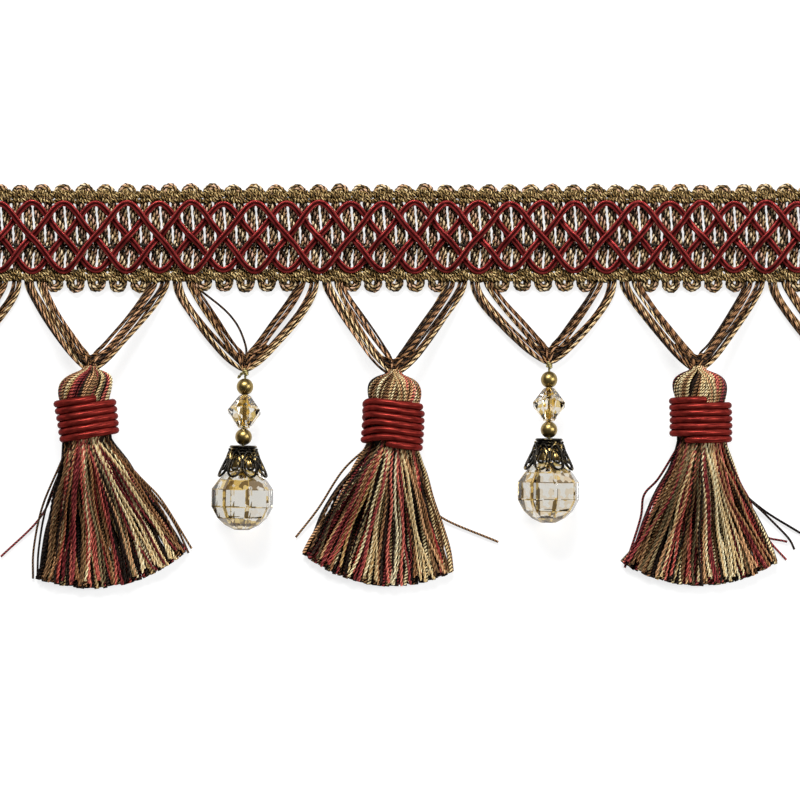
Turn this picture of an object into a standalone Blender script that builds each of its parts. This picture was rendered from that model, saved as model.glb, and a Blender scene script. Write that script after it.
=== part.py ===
"""A cut length of bead and tassel fringe, lying on its back.

The heading is a ribbed gimp braid with picot edges. Four red cords cross over it in waves. Seven yarn
hangers leave its lower edge in Vs. They carry, by turns, a bead drop and a tassel.

Sizes are in millimetres, and MM turns them into metres where a mesh is made. X runs along the heading,
+Y points from the hem up to the heading, and Z is up. The origin is the centre of the heading's flat
back, so everything rests on Z = 0.
"""
import math
from collections import namedtuple

import bmesh
import bpy
from mathutils import Vector

MM = 0.001
GAP = 0.3                       # clearance between neighbouring pieces

# The repeat: every length along the heading is a number of picots
PICOT_PITCH = 4.94
PICOTS_A_UNIT = 7
UNITS = 7
UNIT_PITCH = PICOTS_A_UNIT * PICOT_PITCH
LENGTH = UNITS * UNIT_PITCH

# Heading, in section
COLUMNS_A_PICOT = 4             # a slit and a rib twice in each picot
TOP_EDGE = 11.2
BOTTOM_EDGE = -10.35
TOP_PICOT = 1.2                 # how far the picots stand out
BOTTOM_PICOT = 2.1
BAND = 9.7                      # crest of the thick edge bands, from the middle
GROUND = 8.6                    # where the ribbed ground starts, from the middle
PINCH = -1.8                    # the row of thread that draws the ribs in
EDGE_THICK = 1.2
BAND_THICK = 2.0
RIB_THICK = 1.4
SLIT_THICK = 0.8
PINCH_THICK = 1.1

# Lattice cords
CORDS = 4
WAVE_LENGTH = 6 * PICOT_PITCH
WAVE_HEIGHT = 7.7
WAVE_START = -2.77              # where the first cord has a crest
WAVE_SHARE = 0.1                # share of the third harmonic, which squares the waves a little
CORD_WIDTH = 1.6
CORD_THICK = 0.9
CORD_LOW = RIB_THICK + GAP + CORD_THICK / 2
CORD_HIGH = CORD_LOW + CORD_THICK + GAP

# Hangers
LEG_ROOT = 14.4                 # from the unit's middle
LEG_WIDTH = 4.0
LEG_THICK = 1.5
LEG_TIP_WIDTH = 1.7
LEG_ROOT_SPREAD = 1.4           # from the leg's line to the middle of each bundle
LEG_REACH = Vector((3.5, 4.8))  # how the leg comes in to its tip
LEG_FORK = 0.4                  # where the two bundles join, as a share of the leg

# Tassels
NECK_SIDES = 12
WRAP_TURNS = 7
WRAP_PITCH = 1.45
WRAP_RADIUS = 7.3
WRAP_VALLEY = 6.85
NECK_RADIUS = 5.5
HEAD_TOP = 11.3                 # above the middle of the neck
COLLAR_END = -8.0
ROOT_DEPTH = 1.0                # how far a strand reaches into the collar
FAN_CENTRE = -5.5               # the strands' ends lie on an arc about this place
SKIRT_LENGTH = 33.7
STRAND_WIDTH = 1.3
STRAND_HEIGHT = 1.0
STRAND_ROOT_WIDTH = 0.55
LANDING = 0.75                  # share of a strand after which it lies level
NECK_HEIGHT = WRAP_RADIUS * math.cos(math.pi / NECK_SIDES)

# Bead drops
BALL_SIDES = 8
BALL_HEIGHT = 7.2               # from the axis to the flat facets
BRASS_RADIUS = 1.95
BICONE_RADIUS = 4.1
BICONE_LENGTH = 7.6
BICONE_NOSE = 1.5
BORE_RADIUS = 0.7
THREAD_RADIUS = 0.35
CAP_PETALS = 8
CAP_TOP = 12.2                  # above the ball's middle
THREAD_TOP = 30.4
BEAD_SLOPE = math.radians(17.5)

Unit = namedtuple("Unit", "name kind x y lean fan_left fan_right stray")
UNIT_TABLE = (
    # name, kind, middle of the neck or ball from the unit's middle (x, y), lean of its axis in degrees,
    # then for a tassel the skirt's left and right edge and its stray strand, in degrees from straight down
    Unit("drop_1", "drop", 0.10, -60.30, 0.6, None, None, None),
    Unit("tassel_1", "tassel", -2.20, -42.56, 4.0, -24.0, 43.0, -38.0),
    Unit("drop_2", "drop", -0.68, -61.05, -1.1, None, None, None),
    Unit("tassel_2", "tassel", -0.42, -43.50, -3.0, -42.0, 26.0, 48.0),
    Unit("drop_3", "drop", 0.92, -59.40, -0.7, None, None, None),
    Unit("tassel_3", "tassel", 1.58, -42.56, 0.5, -31.0, 34.0, 47.0),
    Unit("drop_4", "drop", -0.20, -60.20, 0.4, None, None, None),
)

StrandRow = namedtuple("StrandRow", "count root_height root_reach rest_height")
STRAND_ROWS = (
    # strands, height of the roots from the neck's axis, half width of the roots, height of the ends
    StrandRow(11, -3.9, 4.2, 0.0),
    StrandRow(12, 0.0, 5.5, STRAND_HEIGHT + GAP),
    StrandRow(11, 3.9, 4.2, 2 * (STRAND_HEIGHT + GAP)),
)

Finish = namedtuple("Finish", "name colour roughness metallic")
BRAID = Finish("braid_yarn", (0.13, 0.085, 0.045, 1), 0.85, 0.0)
RED_CORD = Finish("red_gimp", (0.24, 0.012, 0.025, 1), 0.6, 0.0)
HANGER_YARN = Finish("hanger_yarn", (0.20, 0.12, 0.05, 1), 0.75, 0.0)
SKIRT_YARN = Finish("skirt_yarn", (0.22, 0.08, 0.055, 1), 0.8, 0.0)
WRAP_CORD = Finish("wrap_cord", (0.12, 0.012, 0.016, 1), 0.45, 0.0)
BRASS = Finish("antique_brass", (0.45, 0.32, 0.11, 1), 0.3, 1.0)
DARK_BRASS = Finish("dark_filigree", (0.06, 0.055, 0.045, 1), 0.4, 1.0)
CRYSTAL = Finish("champagne_crystal", (0.85, 0.72, 0.52, 1), 0.05, 0.0)
THREAD = Finish("tying_thread", (0.22, 0.19, 0.08, 1), 0.8, 0.0)


def clear_scene():
    """Remove every object the file opened with."""
    for thing in list(bpy.data.objects):
        bpy.data.objects.remove(thing, do_unlink=True)


def material(finish):
    """Return the finish's material, made once."""
    found = bpy.data.materials.get(finish.name)
    if found:
        return found
    made = bpy.data.materials.new(finish.name)
    made.use_nodes = True
    shader = made.node_tree.nodes["Principled BSDF"]
    shader.inputs["Base Color"].default_value = finish.colour
    shader.inputs["Roughness"].default_value = finish.roughness
    shader.inputs["Metallic"].default_value = finish.metallic
    return made


def loft(bm, rings, closed=False):
    """Skin a row of equal rings of points. The two ends are capped, or joined when closed."""
    rows = [[bm.verts.new(Vector(point) * MM) for point in ring] for ring in rings]
    skin(bm, rows, closed)
    if not closed:
        bm.faces.new(rows[0])
        bm.faces.new(rows[-1])


def skin(bm, rows, closed=False):
    """Join a row of equal vertex rings with quads."""
    followers = rows[1:] + rows[:1] if closed else rows[1:]
    for near, far in zip(rows, followers):
        for i, corner in enumerate(near):
            bm.faces.new((corner, near[i - 1], far[i - 1], far[i]))


def finish_mesh(name, bm, finish, sharp_degrees):
    """Turn a bmesh into a mesh with its faces pointing out and its round parts smooth."""
    bmesh.ops.recalc_face_normals(bm, faces=bm.faces)
    mesh = bpy.data.meshes.new(name)
    bm.to_mesh(mesh)
    bm.free()
    mesh.materials.append(material(finish))
    mesh.shade_smooth()
    mesh.set_sharp_from_angle(angle=math.radians(sharp_degrees))
    return mesh


def add(name, mesh, parent=None, place=(0, 0, 0), turn=(0, 0, 0)):
    """Link a mesh as a named object at a place, given in millimetres."""
    thing = bpy.data.objects.new(name, mesh)
    bpy.context.collection.objects.link(thing)
    thing.parent = parent
    thing.location = Vector(place) * MM
    thing.rotation_euler = turn
    return thing


def add_empty(name, place, turn):
    """Add the empty that carries one hanging piece."""
    carrier = add(name, None, None, place, (0, 0, turn))
    carrier.empty_display_size = 5 * MM
    return carrier


def turned_ring(along, radius, sides, start=0.0):
    """Points round the Y axis, at one distance along it. Start is a share of one side."""
    steps = [2 * math.pi * (i + start) / sides for i in range(sides)]
    return [(radius * math.sin(a), along, -radius * math.cos(a)) for a in steps]


def turned(name, finish, profile, sides, start=0.5, closed=False, sharp_degrees=35):
    """A round piece on the Y axis from (along, radius) pairs."""
    bm = bmesh.new()
    loft(bm, [turned_ring(along, radius, sides, start) for along, radius in profile], closed)
    return finish_mesh(name, bm, finish, sharp_degrees)


def mix(start, end, share):
    """The value that lies a share of the way from start to end."""
    return start + (end - start) * share


# Heading

def has_bottom_picot(column):
    """The first and last picot of a unit give way to the hanger's legs."""
    picot = (column // COLUMNS_A_PICOT) % PICOTS_A_UNIT
    return 0 < picot < PICOTS_A_UNIT - 1


def scallop(column):
    """Share of a picot's height at one column."""
    return math.sin(math.pi * (column % COLUMNS_A_PICOT) / COLUMNS_A_PICOT)


def heading_section(column):
    """One section of the braid, from its lower back edge over the front to its upper back edge."""
    x = -LENGTH / 2 + column * PICOT_PITCH / COLUMNS_A_PICOT
    low = BOTTOM_EDGE - BOTTOM_PICOT * scallop(column) * has_bottom_picot(column)
    high = TOP_EDGE + TOP_PICOT * scallop(column + COLUMNS_A_PICOT // 2)
    ground = RIB_THICK if column % 2 else SLIT_THICK
    pinch = PINCH_THICK if column % 2 else SLIT_THICK
    front = (
        (low, EDGE_THICK),
        (-BAND, BAND_THICK),
        (-GROUND, ground),
        (PINCH, pinch),
        (GROUND, ground),
        (BAND, BAND_THICK),
        (high, EDGE_THICK),
    )
    return [(x, y, z) for y, z in ((low, 0), *front, (high, 0))]


def make_heading():
    """The braid, as a skin over all its sections."""
    bm = bmesh.new()
    columns = UNITS * PICOTS_A_UNIT * COLUMNS_A_PICOT
    loft(bm, [heading_section(column) for column in range(columns + 1)])
    add("heading", finish_mesh("heading", bm, BRAID, 50))


# Lattice cords

WaveStep = namedtuple("WaveStep", "degrees levels")
HALF_WAVE = (
    # place in the half wave, and whether each of the four cords is up there
    WaveStep(0, (0, 0, 0, 0)),
    WaveStep(30, (1, 0, 1, 0)),
    WaveStep(58, (1, 0, 1, 0)),
    WaveStep(90, (1, 1, 0, 0)),
    WaveStep(122, (1, 0, 1, 0)),
    WaveStep(150, (1, 0, 1, 0)),
)


def wave_height(degrees):
    """Distance from the heading's middle at one place in the wave."""
    angle = math.radians(degrees)
    return WAVE_HEIGHT * (math.cos(angle) + WAVE_SHARE * math.cos(3 * angle)) / (1 + WAVE_SHARE)


def wave_slope(degrees):
    """Direction of the cord in plan, as a unit vector."""
    step = WAVE_LENGTH / 360
    return Vector((2 * step, wave_height(degrees + 1) - wave_height(degrees - 1))).normalized()


def cord_ring(x, degrees, height):
    """A flattened section with its width square to the cord."""
    along = wave_slope(degrees)
    y = wave_height(degrees)
    reach_x = -along.y * CORD_WIDTH / 2
    reach_y = along.x * CORD_WIDTH / 2
    return [
        (x + reach_x, y + reach_y, height),
        (x, y, height + CORD_THICK / 2),
        (x - reach_x, y - reach_y, height),
        (x, y, height - CORD_THICK / 2),
    ]


def cord_rings(cord):
    """Every section of one cord between the heading's two cut ends."""
    start = WAVE_START + cord * WAVE_LENGTH / CORDS
    half_waves = 2 * math.ceil(LENGTH / WAVE_LENGTH) + 2
    steps = []
    for half in range(-half_waves, half_waves):
        for step in HALF_WAVE:
            degrees = 180 * half + step.degrees
            x = start + degrees * WAVE_LENGTH / 360
            if abs(x) < LENGTH / 2 - CORD_WIDTH:
                steps.append((x, degrees, mix(CORD_LOW, CORD_HIGH, step.levels[cord])))
    ends = []
    for x in (-LENGTH / 2 + CORD_WIDTH / 2, LENGTH / 2 - CORD_WIDTH / 2):
        nearest = min(steps, key=lambda step: abs(step[0] - x))
        ends.append((x, (x - start) * 360 / WAVE_LENGTH, nearest[2]))
    return [cord_ring(*step) for step in (ends[0], *steps, ends[1])]


def make_lattice_cords():
    """The four red cords, a quarter of a wave apart."""
    for cord in range(CORDS):
        bm = bmesh.new()
        loft(bm, cord_rings(cord))
        name = f"lattice_cord_{cord + 1}"
        add(name, finish_mesh(name, bm, RED_CORD, 80))


# Hangers

def leg_point(share, root, tip, side, drop):
    """A place on a leg: straight down from its root, then in to the tip on a smooth curve."""
    below = root - Vector((0, drop, 0))
    beside = tip + Vector((side * LEG_REACH.x, LEG_REACH.y, 0))
    rest = 1 - share
    point = rest ** 3 * root + 3 * rest ** 2 * share * below
    point += 3 * rest * share ** 2 * beside + share ** 3 * tip
    point.z = mix(root.z, tip.z, share * share * (3 - 2 * share))
    return point


def leg_frame(share, *route):
    """A place on a leg and the level direction across it."""
    step = 0.01
    along = leg_point(min(share + step, 1), *route) - leg_point(max(share - step, 0), *route)
    across = Vector((-along.y, along.x, 0)).normalized()
    return leg_point(share, *route), across


def leg_outline(middle, across, section):
    """Section points (across, up) set out round a place on the leg."""
    return [middle + across * reach + Vector((0, 0, rise)) for reach, rise in section]


def joined_section(half):
    """Two bundles side by side, with a groove between them."""
    rise = LEG_THICK / 2
    groove = 0.6 * rise
    left = [(0, groove), (-0.5 * half, rise), (-half, 0), (-0.5 * half, -rise)]
    return left + [(-reach, -height) for reach, height in left]


def bundle_section(spread):
    """One bundle of a parted leg, at a distance from the leg's line."""
    rise = LEG_THICK / 2
    half = LEG_WIDTH / 4
    return [
        (-spread + 0.9 * half, 0.6 * rise),
        (-spread, rise),
        (-spread - half, 0),
        (-spread, -rise),
        (-spread + 0.9 * half, -0.6 * rise),
    ]


def make_leg(name, root, tip, side, drop):
    """A leg of two yarn bundles, parted at the braid and joined from the fork on."""
    route = (root, tip, side, drop)
    bm = bmesh.new()
    joined = []
    for share in (LEG_FORK, 0.6, 0.8, 1.0):
        half = mix(LEG_WIDTH, LEG_TIP_WIDTH, ((share - LEG_FORK) / (1 - LEG_FORK)) ** 2) / 2
        outline = leg_outline(*leg_frame(share, *route), joined_section(half))
        joined.append([bm.verts.new(point * MM) for point in outline])
    skin(bm, joined)
    bm.faces.new(joined[-1])
    groove_top, top_one, edge_one, under_one, groove_under, under_two, edge_two, top_two = joined[0]
    forks = (
        (1, [groove_top, top_one, edge_one, under_one, groove_under]),
        (-1, [groove_top, top_two, edge_two, under_two, groove_under]),
    )
    for way, fork in forks:
        rows = [fork]
        for share in (LEG_FORK / 2, 0.0):
            spread = mix(LEG_ROOT_SPREAD, LEG_WIDTH / 4, share / LEG_FORK)
            section = [(way * reach, rise) for reach, rise in bundle_section(spread)]
            outline = leg_outline(*leg_frame(share, *route), section)
            rows.append([bm.verts.new(point * MM) for point in outline])
        skin(bm, rows)
        bm.faces.new(rows[-1])
    add(name, finish_mesh(name, bm, HANGER_YARN, 60))


def make_hanger(unit, middle, apex, drop):
    """The two legs of one V."""
    for word, side in (("left", -1), ("right", 1)):
        root = Vector((middle + side * LEG_ROOT, BOTTOM_EDGE - GAP, LEG_THICK / 2 + 0.1))
        tip = apex + Vector((side * (LEG_TIP_WIDTH + GAP) / 2, 0, 0))
        make_leg(f"{unit.name}_leg_{word}", root, tip, side, drop)


# Tassels

def make_wrap_mesh():
    """Seven turns of cord round the neck, as one ridged ring."""
    half = WRAP_TURNS * WRAP_PITCH / 2
    profile = [(half, NECK_RADIUS + 1.2 * GAP), (half, WRAP_VALLEY)]
    for turn in range(WRAP_TURNS):
        top = half - turn * WRAP_PITCH
        profile.append((top - WRAP_PITCH / 2, WRAP_RADIUS))
        profile.append((top - WRAP_PITCH, WRAP_VALLEY))
    profile.append((-half, NECK_RADIUS + 1.2 * GAP))
    return turned("neck_wrap", WRAP_CORD, profile, NECK_SIDES, closed=True, sharp_degrees=50)


HEAD_PROFILE = (
    # from the blunt top down through the wrap to the collar that the strands leave
    (HEAD_TOP, 3.6),
    (HEAD_TOP - 1.2, 5.4),
    (8.2, 6.3),
    (WRAP_TURNS * WRAP_PITCH / 2 + GAP, 5.9),
    (WRAP_TURNS * WRAP_PITCH / 2 + 0.1, NECK_RADIUS),
    (-WRAP_TURNS * WRAP_PITCH / 2 - 0.1, NECK_RADIUS),
    (-WRAP_TURNS * WRAP_PITCH / 2 - GAP, 5.9),
    (COLLAR_END, 6.2),
)


def strand_angles(row, unit, number):
    """Directions of one row's strands, spread over the fan with small uneven steps."""
    angles = []
    for i in range(row.count):
        share = (i + 0.5 + 0.18 * math.sin(2.4 * i + 1.7 * number)) / row.count
        angles.append(mix(unit.fan_left, unit.fan_right, share))
    if number == 0:
        angles[0 if unit.stray < 0 else -1] = unit.stray
    return angles


def strand_ring(share, root, end, rest_height):
    """A flat-bottomed three-sided section of one strand."""
    width = mix(STRAND_ROOT_WIDTH, STRAND_WIDTH, min(1, 1.6 * share))
    fall = 1 - (1 - share) ** 3 if share < LANDING else 1
    x = mix(root.x, end.x, share)
    y = mix(root.y, end.y, share)
    floor = mix(root.z, rest_height - NECK_HEIGHT, fall)
    return [
        (x - width / 2, y, floor),
        (x + width / 2, y, floor),
        (x, y, floor + STRAND_HEIGHT),
    ]


def make_tassel(unit, carrier):
    """Head, neck and collar with every strand of the skirt fused into the collar."""
    bm = bmesh.new()
    loft(bm, [turned_ring(along, radius, NECK_SIDES, 0.5) for along, radius in HEAD_PROFILE])
    tassel = add(unit.name, finish_mesh(unit.name, bm, SKIRT_YARN, 50), carrier, (0, 0, NECK_HEIGHT))

    bm = bmesh.new()
    for number, row in enumerate(STRAND_ROWS):
        for i, angle in enumerate(strand_angles(row, unit, number)):
            turn = math.radians(angle - unit.lean)
            length = SKIRT_LENGTH * (0.985 + 0.015 * math.sin(3.1 * i + number))
            share = (2 * i + 1) / row.count - 1
            root_height = row.root_height - STRAND_HEIGHT / 2
            root = Vector((row.root_reach * share, COLLAR_END + ROOT_DEPTH, root_height))
            end = Vector((length * math.sin(turn), FAN_CENTRE - length * math.cos(turn), 0))
            shares = (0, 0.25, 0.5, 0.75, 1)
            loft(bm, [strand_ring(step, root, end, row.rest_height) for step in shares])
    name = f"{unit.name}_strands"
    strands = add(name, finish_mesh(name, bm, SKIRT_YARN, 50), carrier, (0, 0, NECK_HEIGHT))
    strands.hide_render = True
    strands.display_type = "WIRE"

    fuse = tassel.modifiers.new("Fuse strands", "BOOLEAN")
    fuse.operation = "UNION"
    fuse.object = strands


def make_tassel_unit(unit, middle, wrap_mesh):
    """One hanger with its tassel and neck wrap."""
    lean = math.radians(unit.lean)
    place = Vector((middle + unit.x, unit.y, 0))
    carrier = add_empty(f"{unit.name}_carrier", place, lean)
    make_tassel(unit, carrier)
    add(f"{unit.name}_wrap", wrap_mesh, carrier, (0, 0, NECK_HEIGHT))
    apex = Vector((middle + unit.x / 2, unit.y + HEAD_TOP + 2.5 * GAP, NECK_HEIGHT))
    make_hanger(unit, middle, apex, drop=2.6)


# Bead drops

BALL_RINGS = (
    # along the bore, radius to the corners, half a side turned or not
    (7.0, 2.2, 0.0),
    (5.4, 5.3, 0.0),
    (2.6, BALL_HEIGHT / math.cos(math.pi / BALL_SIDES), 0.5),
    (-2.6, BALL_HEIGHT / math.cos(math.pi / BALL_SIDES), 0.5),
    (-5.4, 5.3, 0.0),
    (-7.0, 2.2, 0.0),
)
BALL_PIT = 3.3                  # how deep the thread's bore reaches, from the ball's middle


def make_ball_mesh():
    """A ball cut in flat facets, bored from the top for the thread."""
    bm = bmesh.new()
    rings = [turned_ring(BALL_PIT, BORE_RADIUS, BALL_SIDES), turned_ring(7.0, BORE_RADIUS, BALL_SIDES)]
    rings += [turned_ring(along, radius, BALL_SIDES, start) for along, radius, start in BALL_RINGS]
    loft(bm, rings)
    return finish_mesh("faceted_ball", bm, CRYSTAL, 5)


def make_brass_mesh():
    """A small round bead, bored through."""
    edge = math.asin(BORE_RADIUS / BRASS_RADIUS)
    arcs = 5
    profile = []
    for i in range(arcs + 1):
        angle = mix(edge, math.pi - edge, i / arcs)
        profile.append((BRASS_RADIUS * math.cos(angle), BRASS_RADIUS * math.sin(angle)))
    return turned("brass_bead", BRASS, profile, 8, closed=True, sharp_degrees=60)


def make_bicone_mesh():
    """Two eight-sided cones base to base, with blunt noses, bored through."""
    half = BICONE_LENGTH / 2
    profile = [
        (half, BORE_RADIUS),
        (half, BICONE_NOSE),
        (0, BICONE_RADIUS),
        (-half, BICONE_NOSE),
        (-half, BORE_RADIUS),
    ]
    return turned("bicone", CRYSTAL, profile, 8, closed=True, sharp_degrees=5)


CapRing = namedtuple("CapRing", "along_tip along_notch radius_tip radius_notch")
CAP_RINGS = (
    # height above the ball's middle and radius, on each petal's middle and between two petals
    CapRing(CAP_TOP, CAP_TOP, 1.0, 1.0),
    CapRing(CAP_TOP, CAP_TOP, 2.9, 2.9),
    CapRing(9.6, 9.6, 3.9, 3.7),
    CapRing(5.3, 6.7, 6.25, 5.4),
    CapRing(5.3, 6.7, 5.85, 5.0),
    CapRing(9.4, 9.4, 3.5, 3.3),
    CapRing(CAP_TOP - 0.7, CAP_TOP - 0.7, 1.0, 1.0),
)


def make_cap_mesh():
    """A thin flared cap whose rim runs out in petals."""
    sides = 2 * CAP_PETALS
    rings = []
    for ring in CAP_RINGS:
        tips = turned_ring(ring.along_tip, ring.radius_tip, sides)
        notches = turned_ring(ring.along_notch, ring.radius_notch, sides)
        rings.append([(notches if i % 2 else tips)[i] for i in range(sides)])
    bm = bmesh.new()
    loft(bm, rings, closed=True)
    return finish_mesh("bead_cap", bm, DARK_BRASS, 40)


def string_height(along):
    """Height of the thread above the floor, down the slope from the cap to the hanger."""
    return BALL_HEIGHT - 0.1 - max(0, along - CAP_TOP) * math.tan(BEAD_SLOPE)


THREAD_STEPS = (
    # distance above the ball's middle, radius: down from the knot, through the beads, into the ball
    (THREAD_TOP, 0.5),
    (THREAD_TOP - 0.7, 0.8),
    (THREAD_TOP - 1.7, 0.5),
    (28.2, THREAD_RADIUS),
    (20.3, THREAD_RADIUS),
    (CAP_TOP, THREAD_RADIUS),
    (BALL_PIT + GAP, THREAD_RADIUS),
)


def make_thread_mesh():
    """The tying thread with its knot, along the slope of the beads."""
    bm = bmesh.new()
    rings = []
    for along, radius in THREAD_STEPS:
        ring = turned_ring(along, radius, 6)
        rings.append([(x, y, z + string_height(along)) for x, y, z in ring])
    loft(bm, rings)
    return finish_mesh("drop_thread", bm, THREAD, 60)


Bead = namedtuple("Bead", "word along")
STRUNG = (Bead("brass_upper", 26.1), Bead("bicone", 20.3), Bead("brass_lower", 14.5))


def make_drop_unit(unit, middle, meshes):
    """One hanger with its thread, three strung beads, cap and ball."""
    lean = math.radians(unit.lean)
    carrier = add_empty(f"{unit.name}_carrier", (middle + unit.x, unit.y, 0), lean)
    add(f"{unit.name}_thread", meshes["thread"], carrier)
    for bead in STRUNG:
        mesh = meshes["bicone" if bead.word == "bicone" else "brass"]
        place = (0, bead.along, string_height(bead.along))
        add(f"{unit.name}_{bead.word}", mesh, carrier, place, (-BEAD_SLOPE, 0, 0))
    add(f"{unit.name}_cap", meshes["cap"], carrier, (0, 0, BALL_HEIGHT))
    add(f"{unit.name}_ball", meshes["ball"], carrier, (0, 0, BALL_HEIGHT))
    reach = THREAD_TOP + GAP
    apex_x = middle + unit.x - reach * math.sin(lean)
    apex = Vector((apex_x, unit.y + reach * math.cos(lean), LEG_THICK / 2 + 0.7))
    make_hanger(unit, middle, apex, drop=3.7)


def main():
    """Build the fringe."""
    clear_scene()
    make_heading()
    make_lattice_cords()
    wrap_mesh = make_wrap_mesh()
    meshes = {
        "ball": make_ball_mesh(),
        "brass": make_brass_mesh(),
        "bicone": make_bicone_mesh(),
        "cap": make_cap_mesh(),
        "thread": make_thread_mesh(),
    }
    for number, unit in enumerate(UNIT_TABLE):
        middle = (number - (UNITS - 1) / 2) * UNIT_PITCH
        if unit.kind == "tassel":
            make_tassel_unit(unit, middle, wrap_mesh)
        else:
            make_drop_unit(unit, middle, meshes)


main()
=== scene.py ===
"""The finished look of a cut length of bead and tassel fringe, lying on its back.

Every visible piece is made here in millimetres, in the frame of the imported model: X runs along the
heading, +Y points from the hem to the heading, and Z is up from the floor that the fringe lies on.
MM turns a size into metres where a mesh is made.
"""
import sys
import logging
import math
import random
from collections.abc import Sequence
from dataclasses import dataclass, field, replace
from enum import Enum
from functools import partial
from operator import attrgetter

import bmesh
import bpy
import numpy as np
from mathutils import Matrix


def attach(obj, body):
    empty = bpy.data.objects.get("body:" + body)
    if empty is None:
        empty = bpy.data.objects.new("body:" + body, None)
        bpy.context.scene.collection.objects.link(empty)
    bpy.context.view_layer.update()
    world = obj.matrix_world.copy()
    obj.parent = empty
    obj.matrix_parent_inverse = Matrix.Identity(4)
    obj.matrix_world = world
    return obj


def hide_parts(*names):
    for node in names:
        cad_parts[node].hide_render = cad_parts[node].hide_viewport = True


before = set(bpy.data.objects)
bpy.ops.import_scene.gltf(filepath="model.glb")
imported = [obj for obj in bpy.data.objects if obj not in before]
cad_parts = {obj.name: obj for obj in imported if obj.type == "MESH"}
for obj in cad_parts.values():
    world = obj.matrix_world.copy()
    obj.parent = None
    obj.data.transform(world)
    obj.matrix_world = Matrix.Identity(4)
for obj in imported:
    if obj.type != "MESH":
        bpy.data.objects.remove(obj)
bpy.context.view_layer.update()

log = logging.getLogger("fringe")

MM = 0.001
Colour = tuple[float, float, float, float]
Socket = bpy.types.NodeSocket

# The repeat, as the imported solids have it
PICOT_PITCH = 4.94
PICOTS_A_UNIT = 7
UNITS = 7
UNIT_PITCH = PICOTS_A_UNIT * PICOT_PITCH
LENGTH = UNITS * UNIT_PITCH


def unit_middle(index: int) -> float:
    """The middle of one unit on the heading, with the first on the left as 0."""
    return (index - (UNITS - 1) / 2) * UNIT_PITCH


# Finishes

class NodePlan:
    """Adds and links the nodes of one material."""

    def __init__(self, name: str) -> None:
        """Start a material of its own.

        Args:
            name: the material's name.
        """
        self.material = bpy.data.materials.new(name)
        self.material.use_nodes = True
        self.tree = self.material.node_tree
        self.shader = self.tree.nodes["Principled BSDF"]

    def add(
        self, kind: str, inputs: dict[int | str, object] | None = None, **settings: object
    ) -> bpy.types.Node:
        """Add a node.

        Args:
            kind: the node's type.
            inputs: what goes into its inputs, by their numbers or names.
            settings: its properties by name.

        Returns:
            The new node.
        """
        node = self.tree.nodes.new(kind)
        for name, value in settings.items():
            setattr(node, name, value)
        for key, value in (inputs or {}).items():
            self.feed(node.inputs[key], value)
        return node

    def feed(self, socket: Socket, value: object) -> None:
        """Link a socket to another one, or set its value.

        Args:
            socket: the input.
            value: an output socket, or a number, vector or colour.
        """
        if isinstance(value, bpy.types.NodeSocket):
            self.tree.links.new(value, socket)
        else:
            socket.default_value = value

    def math(self, operation: str, first: object, second: object = 0.0) -> Socket:
        """Work out a number from one or two others, which may be sockets."""
        return self.add("ShaderNodeMath", {0: first, 1: second}, operation=operation).outputs[0]

    def plus(self, first: object, second: object) -> Socket:
        """The sum of two numbers."""
        return self.math("ADD", first, second)

    def minus(self, first: object, second: object) -> Socket:
        """The first number less the second."""
        return self.math("SUBTRACT", first, second)

    def times(self, first: object, second: object) -> Socket:
        """The product of two numbers."""
        return self.math("MULTIPLY", first, second)

    def spread(self, value: Socket, low: float, high: float) -> Socket:
        """Stretch a value so that low becomes 0 and high becomes 1, held between the two."""
        inputs = {"Value": value, "From Min": low, "From Max": high}
        return self.add("ShaderNodeMapRange", inputs, clamp=True).outputs["Result"]

    def blend(self, share: object, low: object, high: object) -> Socket:
        """Mix two colours, with this share of the second."""
        inputs = {"Factor": share, 6: low, 7: high}
        return self.add("ShaderNodeMix", inputs, data_type="RGBA").outputs[2]

    def noise(self, place: Socket, scale: float, detail: float = 2.0) -> Socket:
        """Soft noise, of this fineness and this many finer layers."""
        inputs = {"Vector": place, "Scale": scale, "Detail": detail}
        return self.add("ShaderNodeTexNoise", inputs).outputs[0]

    def join(self, *numbers: object) -> Socket:
        """Join an x, a y and a z into a vector."""
        return self.add("ShaderNodeCombineXYZ", dict(enumerate(numbers))).outputs[0]

    def split(self, vector: Socket) -> tuple[Socket, Socket, Socket]:
        """Take a vector apart into its x, y and z."""
        return tuple(self.add("ShaderNodeSeparateXYZ", {0: vector}).outputs)

    def attribute(self, name: str) -> Socket:
        """Read a number that the mesh carries."""
        return self.add("ShaderNodeAttribute", attribute_name=name).outputs["Fac"]

    def object_place(self) -> Socket:
        """Read the place on the object."""
        return self.add("ShaderNodeTexCoord").outputs["Object"]

    def strand_place(self) -> Socket:
        """Read the place on a strand: millimetres along it, and the share of the way round."""
        return self.add("ShaderNodeUVMap", uv_map="UVMap").outputs["UV"]

    def bump(self, height: Socket, strength: float, depth: float) -> None:
        """Raise the surface.

        Args:
            height: the height's socket, from 0 to 1.
            strength: how strong the effect is.
            depth: the height of the relief in millimetres.
        """
        inputs = {"Strength": strength, "Distance": depth * MM, "Height": height}
        self.set(Normal=self.add("ShaderNodeBump", inputs).outputs["Normal"])

    def set(self, **values: object) -> None:
        """Set the shader's own sockets, whose names are given with underscores for spaces."""
        for name, value in values.items():
            self.feed(self.shader.inputs[name.replace("_", " ")], value)


class Finish:
    """Something that a piece can be coloured with."""

    name: str

    def plan(self) -> NodePlan:
        """Lay out the finish's nodes."""
        raise NotImplementedError

    def material(self) -> bpy.types.Material:
        """The finish's material, made once."""
        return bpy.data.materials.get(self.name) or self.plan().material


# The range of noise that gives the fibres their streaks
FIBRES = (0.3, 0.7)


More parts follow.
